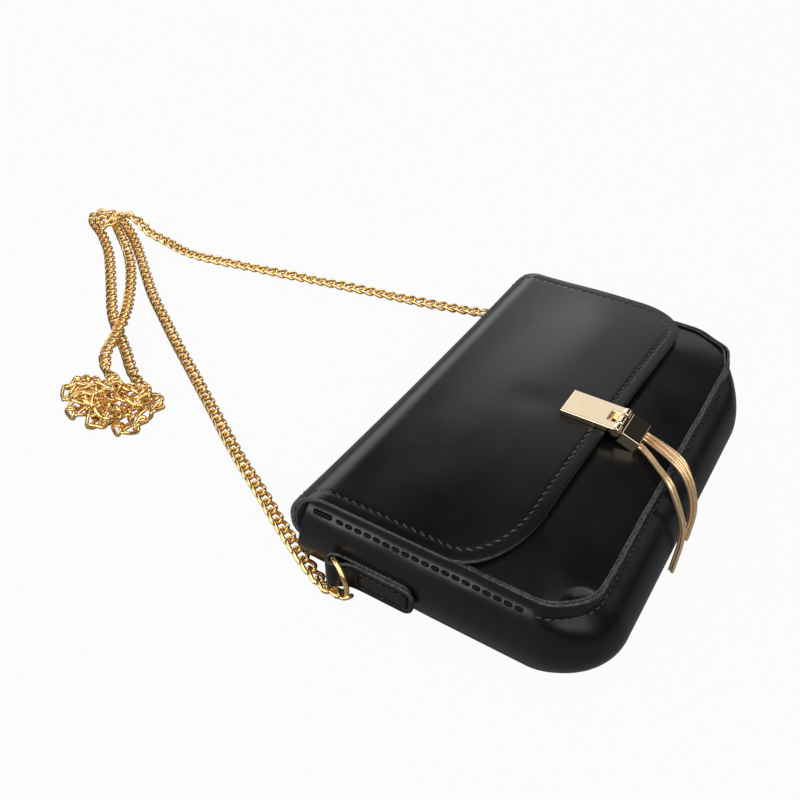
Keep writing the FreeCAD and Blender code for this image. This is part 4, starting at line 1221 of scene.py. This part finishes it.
@dataclass
class Tassel:
    """Plate, pin, block and snap, and the strands that hang from the block."""

    finishes: Finishes
    pin: tuple[float, float] = (-31.0, 50.1)
    pitch: float = 20.0
    block_reach: float = 10.9
    block_middle: float = -1.1
    diameter: float = 1.4
    spacing: float = 1.5
    lead: float = 2.0
    scale_pitch: float = 1.05
    scale_steps: int = 4
    scale_ripple: tuple[float, float] = (0.985, 0.025)
    sides: int = 8
    end_share: float = 0.05
    upper_exit: float = 2.6
    lower_exit: float = -5.2
    upper_count: int = 5
    lower_count: int = 3
    upper_route: Route = (
        (0.4, -47.5, 45.0), (-1.5, -52.4, 44.9), (-3.4, -56.6, 44.6), (-4.6, -59.6, 43.6),
        (-5.7, -62.3, 41.3), (-7.1, -65.4, 37.2), (-8.4, -67.7, 32.2), (-9.5, -69.1, 26.8),
        (-10.6, -69.5, 21.5), (-13.6, -69.4, 14.0),
    )
    upper_spread: tuple[float, ...] = (0.7, 0.72, 0.8, 0.92, 1.0, 1.0, 0.92, 0.8, 0.7, 0.62, 0.55, 0.5)
    lower_route: Route = (
        (-9.6, -48.0, 45.0), (-13.7, -52.6, 44.9), (-17.2, -56.8, 44.8), (-18.8, -59.0, 44.1),
        (-19.8, -61.2, 41.4), (-21.4, -65.4, 35.0), (-22.9, -68.6, 29.0), (-24.3, -69.4, 23.5),
        (-26.0, -69.6, 17.4), (-28.6, -69.4, 9.0),
    )
    lower_spread: tuple[float, ...] = (0.7, 0.62, 0.55, 0.52, 0.55, 0.62, 0.66, 0.62, 0.58, 0.54, 0.5, 0.5)
    barrel: Point = (-2.9, 2.9, 2.0)
    ears: tuple[Point, ...] = ((3.3, 7.7, 2.2), (-7.7, -3.3, 2.2))
    knuckle_steps: int = 25
    knuckle_sides: int = 28
    notch_half: float = 3.1
    notch_y: tuple[float, float] = (-25.85, 3.2)
    notch_z: tuple[float, float] = (51.7, 2.1)
    notch_sheet: tuple[float, float] = (0.2, 0.05)

    def block_exit(self, x: float) -> tuple[Array, Array]:
        """Place on the end face of the block.

        Args:
            x: Place across the block.

        Returns:
            The point, and the way out of the block.
        """
        pitch = math.radians(self.pitch)
        out = np.array([0.0, -math.cos(pitch), -math.sin(pitch)])
        up = np.array([0.0, -math.sin(pitch), math.cos(pitch)])
        pin = np.array([x, *self.pin])
        return pin + out * self.block_reach + up * self.block_middle, out

    def build_strand(self, number: int, x: float, place: float, route: Array, spread: Array) -> None:
        """One snake chain: a tube whose radius ripples in slanting scales along its route.

        Args:
            number: Number of the strand.
            x: Middle of its bundle on the block.
            place: Place in the bundle, in strands from its middle.
            route: Route of the bundle after it leaves the block.
            spread: How wide the bundle lies at each control point, 1 for strands side by side.
        """
        first, out = self.block_exit(x)
        control = np.concatenate([[first, first + out * self.lead], route])
        ahead = tangents(control)
        lift = unit(np.cross(X_AXIS, ahead)) * -1.0
        stacked = self.diameter * np.sqrt(1.0 - np.minimum(spread, 1.0) ** 2) * (int(2 * place) % 4 != 0)
        control = control + np.outer(place * self.spacing * spread, X_AXIS) + lift * stacked[:, None]
        line = read_spline(control)
        total = distances(line)[-1]
        line = points_at(line, np.linspace(0.0, total, int(total / self.scale_pitch * self.scale_steps)))
        turn = np.linspace(0.0, math.tau, self.sides, endpoint=False)
        ripple = np.cos(math.tau * distances(line)[:, None] / self.scale_pitch + 2.0 * turn)
        radius = self.diameter / 2 * (self.scale_ripple[0] + self.scale_ripple[1] * ripple)
        radius[[0, -1]] *= self.end_share
        surface = Surface()
        surface.add_tube(line, radius, self.sides, X_AXIS)
        piece = surface.make(f"strand_{number}", [self.finishes.strand_gold])
        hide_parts(f"tassel_strand_{number}")
        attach(piece, Body.TASSEL.value)

    def knuckle(self, low: float, high: float, radius: float) -> Array:
        """Round bar on the pin: a circle carried along it, drawn in at both ends by a twelfth power.

        Args:
            low: Where it starts across the bag.
            high: Where it ends.
            radius: Radius of the circle.

        Returns:
            Grid of (places along the pin, places round it, 3).
        """
        turn = np.linspace(0.0, math.tau, self.knuckle_sides, endpoint=False)
        share = np.linspace(-1.0, 1.0, self.knuckle_steps)[:, None]
        wide = radius * np.maximum(1.0 - share**12, 0.0) ** 0.5
        x = (low + high) / 2 + (high - low) / 2 * share + 0.0 * turn
        return np.stack([x, self.pin[0] + wide * np.cos(turn), self.pin[1] + wide * np.sin(turn)], axis=-1)

    def build_knuckles(self) -> None:
        """Barrel on the block, two ears on the plate and a floor of the notch below them.

        The floor goes back by a parabola and down by a sine.
        """
        barrel, ears = Surface(), Surface()
        barrel.add(self.knuckle(*self.barrel), flip=True, loop_columns=True)
        for ear in self.ears:
            ears.add(self.knuckle(*ear), flip=True, loop_columns=True)
        across = np.linspace(-self.notch_half, self.notch_half, 9)
        down = np.linspace(0.0, 1.0, 13)[:, None]
        y = self.notch_y[0] - self.notch_y[1] * down**2
        z = self.notch_z[0] - self.notch_z[1] * np.sin(np.pi / 2 * down)
        floor = np.stack([across + 0.0 * down, y + 0.0 * across, z + 0.0 * across], axis=-1)
        ears.add_sheet(floor, *self.notch_sheet)
        made = ((barrel, "block_barrel", Body.TASSEL), (ears, "plate_knuckles", Body.FLAP))
        for surface, name, body in made:
            piece = surface.make(name, [self.finishes.pale_gold] * 3)
            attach(piece, body.value)

    def build(self) -> None:
        """Dress the metal pieces and build the strands of both bundles."""
        for node in ("clasp_plate", "hinge_pin", "tassel_block"):
            dress(node, self.finishes.pale_gold)
        for node in ("snap_socket", "snap_stud"):
            dress(node, self.finishes.steel)
        number = 0
        bundles = (
            (self.upper_route, self.upper_spread, self.upper_exit, self.upper_count),
            (self.lower_route, self.lower_spread, self.lower_exit, self.lower_count),
        )
        for route, spread, x, count in bundles:
            for i in range(count):
                number += 1
                self.build_strand(number, x, i - (count - 1) / 2, np.array(route), np.array(spread))
        self.build_knuckles()


def read_spline(control: Array) -> Array:
    """Points of the smooth curve that has the given points as its controls.

    Args:
        control: Route points in millimetres.

    Returns:
        Points of a clamped NURBS curve of order 3, in millimetres.
    """
    curve = bpy.data.curves.new("route", "CURVE")
    curve.dimensions = "3D"
    spline = curve.splines.new("NURBS")
    spline.points.add(len(control) - 1)
    spline.points.foreach_set("co", np.column_stack([control * MM, np.ones(len(control))]).ravel())
    spline.order_u = 3
    spline.use_endpoint_u = True
    spline.resolution_u = ROUTE_STEPS
    holder = bpy.data.objects.new("route", curve)
    mesh = bpy.data.meshes.new_from_object(holder)
    points = np.empty(len(mesh.vertices) * 3, dtype=np.float32)
    mesh.vertices.foreach_get("co", points)
    bpy.data.objects.remove(holder)
    bpy.data.curves.remove(curve)
    bpy.data.meshes.remove(mesh)
    return points.reshape(-1, 3).astype(float) / MM


# Chain


@dataclass
class Chain:
    """Chain from ring to ring, of flat twisted links, in five stretches."""

    finishes: Finishes
    pitch: float = 6.4
    slack: float = 0.3
    width: float = 6.7
    wire: float = 1.95
    twist_deg: float = 44.0
    layer: float = 5.9
    floor_level: float = 2.95
    ring_radius: float = 9.6
    ring_wire: float = 2.2
    ring_lean: float = 24.0
    ring_angle: float = 30.0
    ring_gap: float = 0.3
    ring_follow: float = 26.0
    loop: Point = (104.7, 43.5, 12.5)
    wire_sides: int = 8
    bow_steps: int = 9
    path_steps: int = 200
    sway: tuple[float, float] = (0.12, 0.9)
    heap_sway: tuple[float, float] = (0.6, 2.3)
    heap_radius: float = 24.0
    heap_rim: float = 6.0
    heap_middle: tuple[float, float] = (-69.0, 207.5)
    heap: Route = (
        (-49.5, 205.0, 0.0), (-51.4, 196.4, 0.0), (-53.4, 188.4, 0.1), (-58.9, 184.4, 0.0),
        (-64.9, 186.9, 0.0), (-70.9, 183.9, 0.1), (-77.9, 184.4, 0.0), (-81.4, 189.9, 0.1),
        (-76.4, 192.9, 0.0), (-70.4, 190.9, 0.0), (-64.4, 193.9, 0.1), (-58.4, 191.9, 0.0),
        (-54.9, 196.4, 0.1), (-58.9, 200.4, 0.0), (-64.9, 200.4, 0.0), (-70.9, 198.4, 0.1),
        (-76.9, 200.4, 0.0), (-83.4, 198.9, 0.1), (-85.4, 204.4, 0.0), (-80.4, 207.4, 0.1),
        (-74.4, 206.4, 0.0), (-68.4, 207.9, 0.0), (-62.4, 206.4, 0.1), (-57.4, 209.9, 0.0),
        (-59.4, 214.9, 0.1), (-65.9, 213.9, 0.0), (-72.4, 214.9, 0.1), (-79.9, 213.4, 0.0),
        (-84.9, 217.9, 0.1), (-80.4, 222.4, 0.0), (-73.9, 220.9, 0.0), (-67.4, 221.9, 0.1),
        (-61.9, 223.4, 0.0), (-63.4, 228.9, 0.1), (-69.9, 227.9, 0.0), (-76.9, 227.4, 0.1),
        (-74.9, 232.9, 0.1), (-68.4, 235.4, 0.2), (-63.9, 232.4, 0.5), (-64.9, 225.4, 0.9),
        (-62.4, 217.9, 1.0), (-59.9, 210.4, 1.0), (-57.9, 202.9, 1.0), (-56.4, 195.4, 1.0),
        (-58.9, 188.9, 1.0), (-64.4, 189.4, 1.0), (-65.4, 196.4, 1.1), (-66.9, 203.4, 1.0),
        (-68.4, 210.4, 1.1), (-69.9, 217.9, 1.0), (-73.4, 224.4, 1.0), (-77.9, 220.9, 1.0),
        (-76.9, 213.4, 1.1), (-75.4, 205.9, 1.0), (-73.9, 198.4, 1.1), (-77.4, 192.9, 1.0),
        (-80.4, 198.4, 1.1), (-78.4, 205.4, 1.5), (-71.9, 207.4, 1.9), (-66.4, 204.4, 1.7),
    )
    settling: int = 6
    near_run: Route = (
        (-106.0, 39.3, 0.3), (-106.0, 43.6, 0.1), (-105.2, 48.5, 0.0), (-103.0, 54.2, 0.0),
        (-100.3, 60.0, 0.0), (-96.9, 66.8, 0.0), (-92.4, 75.8, 0.0), (-87.0, 86.4, 0.0),
        (-77.0, 103.8, 0.0), (-64.4, 127.8, 0.0), (-42.9, 163.0, 0.0), (-27.2, 188.9, 0.0),
        (-12.5, 213.7, 0.0), (4.0, 239.7, 0.0), (17.8, 261.6, 0.0), (32.8, 281.2, 0.0), (45.1, 297.2, 0.0),
        (54.2, 309.4, 0.0),
    )
    left_strand: Route = (
        (61.4, 320.1, 0.0), (68.2, 331.2, 0.0), (74.4, 343.4, 0.0), (77.6, 354.5, 0.0), (74.0, 362.0, 0.0),
        (66.5, 362.4, 0.0), (60.4, 355.0, 0.0), (54.4, 341.5, 0.0), (46.4, 329.3, 0.0), (38.7, 318.5, 0.0),
        (29.4, 307.9, 0.0), (8.8, 285.9, 0.0), (-10.3, 265.8, 0.0), (-20.6, 250.5, 0.0),
        (-26.4, 241.5, 0.0), (-32.5, 232.3, 0.0), (-38.9, 223.7, 0.0), (-44.2, 215.8, 0.0),
    )
    right_strand: Route = (
        (-60.0, 208.0, 1.0), (-57.6, 215.0, 1.0), (-54.4, 222.2, 1.0), (-50.4, 228.4, 1.0),
        (-45.4, 233.6, 1.0), (-39.4, 237.3, 1.0), (-32.6, 240.2, 1.0), (-24.9, 244.3, 1.0),
        (-17.5, 248.5, 1.0), (-9.5, 254.5, 0.85), (-1.5, 261.3, 0.5), (6.2, 268.7, 0.15),
        (13.6, 275.1, 0.0), (22.8, 283.6, 0.0), (33.5, 294.2, 0.0), (41.3, 303.3, 0.3), (47.3, 312.3, 0.8),
        (53.3, 321.9, 1.0), (60.0, 332.0, 1.0), (65.5, 341.0, 1.0), (66.0, 348.5, 1.0), (60.0, 349.0, 1.1),
        (55.5, 342.0, 1.1), (52.5, 335.0, 1.2), (57.5, 331.0, 1.7), (64.0, 331.0, 1.9), (70.0, 328.5, 1.5),
        (70.5, 321.0, 1.0),
    )
    far_run: Route = (
        (68.0, 312.5, 0.5), (68.4, 304.0, 0.15), (68.4, 296.0, 0.0), (65.2, 282.5, 0.0), (64.8, 270.5, 0.0),
        (66.6, 258.0, 0.0), (70.6, 238.8, 0.0), (78.8, 198.7, 0.0), (87.0, 160.2, 0.0), (94.0, 122.5, 0.0),
        (101.2, 93.1, 0.0), (106.5, 74.0, 0.0), (110.5, 61.0, 0.0), (112.7, 53.0, 0.0), (113.0, 46.0, 0.3),
        (111.8, 39.6, 0.7),
    )

    def ring_point(self, side: Side) -> Array:
        """Point on a ring's wire where the end link hangs."""
        turn = math.radians(self.ring_angle)
        lean = math.radians(self.ring_lean)
        reach = self.ring_radius * math.cos(turn)
        x, y, z = self.loop
        return np.array([side * (x + reach * math.sin(lean)), y - reach * math.cos(lean),
                         z - self.ring_radius * math.sin(turn)])

    def route(self) -> Array:
        """Control points of the whole chain in millimetres."""
        laid = np.concatenate([self.near_run, self.left_strand, self.heap, self.right_strand, self.far_run])
        laid[:, 2] = self.floor_level + laid[:, 2] * self.layer
        return np.concatenate([[self.ring_point(Side.NEAR)], laid, [self.ring_point(Side.FAR)]])

    def link_grid(self) -> Array:
        """One link: a stadium of round wire whose plane turns about its length from end to end."""
        bow = (self.width - self.wire) / 2
        straight = (self.pitch + self.slack + self.wire) / 2 - bow
        quarter = np.linspace(-np.pi / 2, np.pi / 2, self.bow_steps)
        half = np.stack([straight + bow * np.cos(quarter), bow * np.sin(quarter)], axis=1)
        flat = np.concatenate([half, [(0.0, bow)], -half, [(0.0, -bow)]])
        turn = math.radians(self.twist_deg) * flat[:, 0] / (straight + bow)
        line = np.stack([flat[:, 0], flat[:, 1] * np.cos(turn), flat[:, 1] * np.sin(turn)], axis=1)
        along = unit(np.roll(line, -1, axis=0) - np.roll(line, 1, axis=0))
        level = np.stack([np.zeros_like(turn), -np.sin(turn), np.cos(turn)], axis=1)
        sideways = unit(np.cross(level, along))
        level = np.cross(along, sideways)
        around = np.linspace(0.0, math.tau, self.wire_sides, endpoint=False)[None, :, None]
        ring = sideways[:, None] * np.cos(around) + level[:, None] * np.sin(around)
        return line[:, None] + ring * self.wire / 2

    def build(self) -> None:
        """Hang links along the route and make one piece per stretch.

        Every link is turned about the route. Near the rings it is turned by the twist, so that it hangs in
        the ring, and further on it sways by sines, more in the heap.
        """
        line = read_spline(self.route())
        length = distances(line)
        first = (self.pitch + self.slack) / 2 - self.ring_wire / 2 - self.ring_gap
        gaps = 2 * round((length[-1] - 2 * first) / self.pitch / 2)
        places = np.linspace(first, length[-1] - first, gaps + 1)
        middle = points_at(line, places)
        along = unit(read_at(length, tangents(line), places))
        across = unit(np.cross(Z_AXIS, along))
        up = np.cross(along, across)
        order = np.arange(gaps + 1)
        hung = 1.0 - smoothstep(np.minimum(order, gaps - order) / self.settling)
        hung = hung * np.where(order < gaps / 2, 1.0, -1.0)
        off_heap = np.linalg.norm(middle[:, :2] - np.array(self.heap_middle), axis=1)
        piled = 1.0 - smoothstep((off_heap - self.heap_radius) / self.heap_rim)
        sway = self.sway[0] * np.sin(order * self.sway[1])
        sway = sway + piled * self.heap_sway[0] * np.sin(order * self.heap_sway[1])
        roll = math.radians(self.twist_deg) * hung + sway * (1.0 - np.abs(hung))
        cos, sin = np.cos(roll)[:, None], np.sin(roll)[:, None]
        axes = np.stack([along, across * cos + up * sin, up * cos - across * sin], axis=1)
        links = np.einsum("rck,nkd->nrcd", self.link_grid(), axes) + middle[:, None, None]
        self.split(line, length, places, links)

    def split(self, line: Array, length: Array, places: Array, links: Array) -> None:
        """Make one piece per stretch, cut where the stretches of the route join.

        Args:
            line: Points of the whole route.
            length: Length along it at each point.
            places: Lengths at which the links lie.
            links: One grid per link.
        """
        names = ("near_run", "left_strand", "heap", "right_strand", "far_run")
        ends = [self.near_run[-1], self.left_strand[-1], self.heap[-1], self.right_strand[-1]]
        marks = np.array([(x, y, self.floor_level + level * self.layer) for x, y, level in ends])
        nearest = [length[np.argmin(np.linalg.norm(line - mark, axis=1))] for mark in marks]
        cuts = np.concatenate([[0.0], nearest, [length[-1]]])
        for name, start, end in zip(names, cuts[:-1], cuts[1:]):
            chosen = (places >= start) & (places < end)
            surface = Surface()
            surface.add(links[chosen], loop_rows=True, loop_columns=True)
            piece = surface.make(f"chain_{name}_links", [self.finishes.chain_gold])
            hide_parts(f"chain_{name}")
            self.attach(piece, name)

    def attach(self, piece: Piece, name: str) -> None:
        """Let the middle stretches lie with the bag, and leave the end stretches where they were built."""
        ends = {"near_run": (Side.NEAR, Body.NEAR_RING), "far_run": (Side.FAR, Body.FAR_RING)}
        if name not in ends:
            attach(piece, Body.BAG.value)
            return
        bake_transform(piece)


# Stage


@dataclass(frozen=True)
class Softbox:
    """Rectangular lamp, placed by its direction from the bag.

    Its azimuth is counted from +X towards +Y, its distance and size are metres, and a brightness of 1
    makes its face look white.
    """

    name: str
    azimuth: float
    elevation: float
    distance: float
    size: tuple[float, float]
    brightness: float
    tint: Colour = (1.0, 1.0, 1.0)

    def place(self) -> Vector:
        """Where the lamp hangs."""
        turn, lift = math.radians(self.azimuth), math.radians(self.elevation)
        level = self.distance * math.cos(lift)
        return Vector((level * math.cos(turn), level * math.sin(turn), self.distance * math.sin(lift)))


@dataclass
class Studio:
    """Pale floor, soft lights and the camera."""

    camera_place: Point = (-288.6, -101.6, 298.0)
    camera_aim: Point = (-10.7, 70.77, 25.0)
    lens: float = 40.635
    sensor: float = 36.0
    clip_start: float = 0.01
    floor_size: float = 8.0
    floor_drop: float = 0.0001
    floor_tone: float = 0.3
    white_share: float = 0.96
    world_tone: Colour = (0.93, 0.96, 1.0)
    world_strength: float = 0.03
    lamps: tuple[Softbox, ...] = (
        Softbox("back_window", 58.0, 21.0, 1.7, (2.6, 0.75), 2.1, (0.92, 0.96, 1.0)),
        Softbox("plate_card", 19.0, 40.0, 1.6, (0.55, 0.42), 0.95),
        Softbox("side_window", 153.0, 15.0, 1.5, (1.0, 0.7), 4.3, (0.95, 0.97, 1.0)),
        Softbox("bottom_card", -44.0, 24.0, 1.5, (0.7, 0.4), 0.8),
        Softbox("far_card", 9.0, 20.0, 1.6, (0.8, 0.42), 0.95, (0.94, 0.97, 1.0)),
        Softbox("camera_card", 222.0, 54.0, 1.6, (2.4, 1.7), 1.65),
        Softbox("overhead", 230.0, 84.0, 1.9, (1.2, 1.2), 1.7),
    )

    def build_floor(self) -> None:
        """Pale floor that looks white to the camera and keeps a faint shadow."""
        half = self.floor_size / 2
        corners = [(-half, -half), (half, -half), (half, half), (-half, half)]
        mesh = bpy.data.meshes.new("floor")
        mesh.from_pydata([(x, y, -self.floor_drop) for x, y in corners], [], [(0, 1, 2, 3)])
        floor = bpy.data.objects.new("floor", mesh)
        bpy.context.scene.collection.objects.link(floor)
        material = bpy.data.materials.new("pale_floor")
        material.use_nodes = True
        tree = material.node_tree
        tree.nodes.clear()
        path = tree.nodes.new("ShaderNodeLightPath")
        share = tree.nodes.new("ShaderNodeMath")
        share.operation = "MULTIPLY"
        share.inputs[1].default_value = self.white_share
        tree.links.new(path.outputs["Is Camera Ray"], share.inputs[0])
        matt = tree.nodes.new("ShaderNodeBsdfDiffuse")
        matt.inputs["Color"].default_value = (self.floor_tone, self.floor_tone, self.floor_tone, 1.0)
        white = tree.nodes.new("ShaderNodeEmission")
        mix = tree.nodes.new("ShaderNodeMixShader")
        tree.links.new(share.outputs[0], mix.inputs[0])
        tree.links.new(matt.outputs[0], mix.inputs[1])
        tree.links.new(white.outputs[0], mix.inputs[2])
        output = tree.nodes.new("ShaderNodeOutputMaterial")
        tree.links.new(mix.outputs[0], output.inputs["Surface"])
        mesh.materials.append(material)

    def add_softbox(self, box: Softbox) -> None:
        """Hang one rectangular lamp so that it faces the bag."""
        lamp = bpy.data.lights.new(box.name, "AREA")
        lamp.shape = "RECTANGLE"
        lamp.size, lamp.size_y = box.size
        lamp.energy = box.brightness * math.pi * box.size[0] * box.size[1]
        lamp.color = box.tint
        holder = bpy.data.objects.new(box.name, lamp)
        holder.location = box.place()
        holder.rotation_euler = (-box.place()).to_track_quat("-Z", "Y").to_euler()
        bpy.context.scene.collection.objects.link(holder)

    def build(self) -> None:
        """Set up the floor, the lights, the world and the camera."""
        self.build_floor()
        for lamp in self.lamps:
            self.add_softbox(lamp)
        world = bpy.data.worlds.new("studio_world")
        world.use_nodes = True
        background = world.node_tree.nodes["Background"]
        background.inputs["Color"].default_value = (*self.world_tone, 1.0)
        background.inputs["Strength"].default_value = self.world_strength
        bpy.context.scene.world = world
        bpy.context.scene.view_settings.view_transform = "Standard"
        data = bpy.data.cameras.new("photo_camera")
        data.lens = self.lens
        data.sensor_width = self.sensor
        data.clip_start = self.clip_start
        camera = bpy.data.objects.new("photo_camera", data)
        place = Vector(self.camera_place) * MM
        camera.location = place
        camera.rotation_euler = (Vector(self.camera_aim) * MM - place).to_track_quat("-Z", "Y").to_euler()
        bpy.context.scene.collection.objects.link(camera)
        bpy.context.scene.camera = camera


def main() -> None:
    """Build every sub-assembly in order."""
    logging.basicConfig(level=logging.INFO, format="%(message)s")
    finishes = Finishes()
    Pouch(finishes).build()
    Flap(finishes).build()
    for side in Side:
        SideTab(finishes, side).build()
    Tassel(finishes).build()
    Chain(finishes).build()
    Studio().build()


if __name__ == "__main__":
    main()
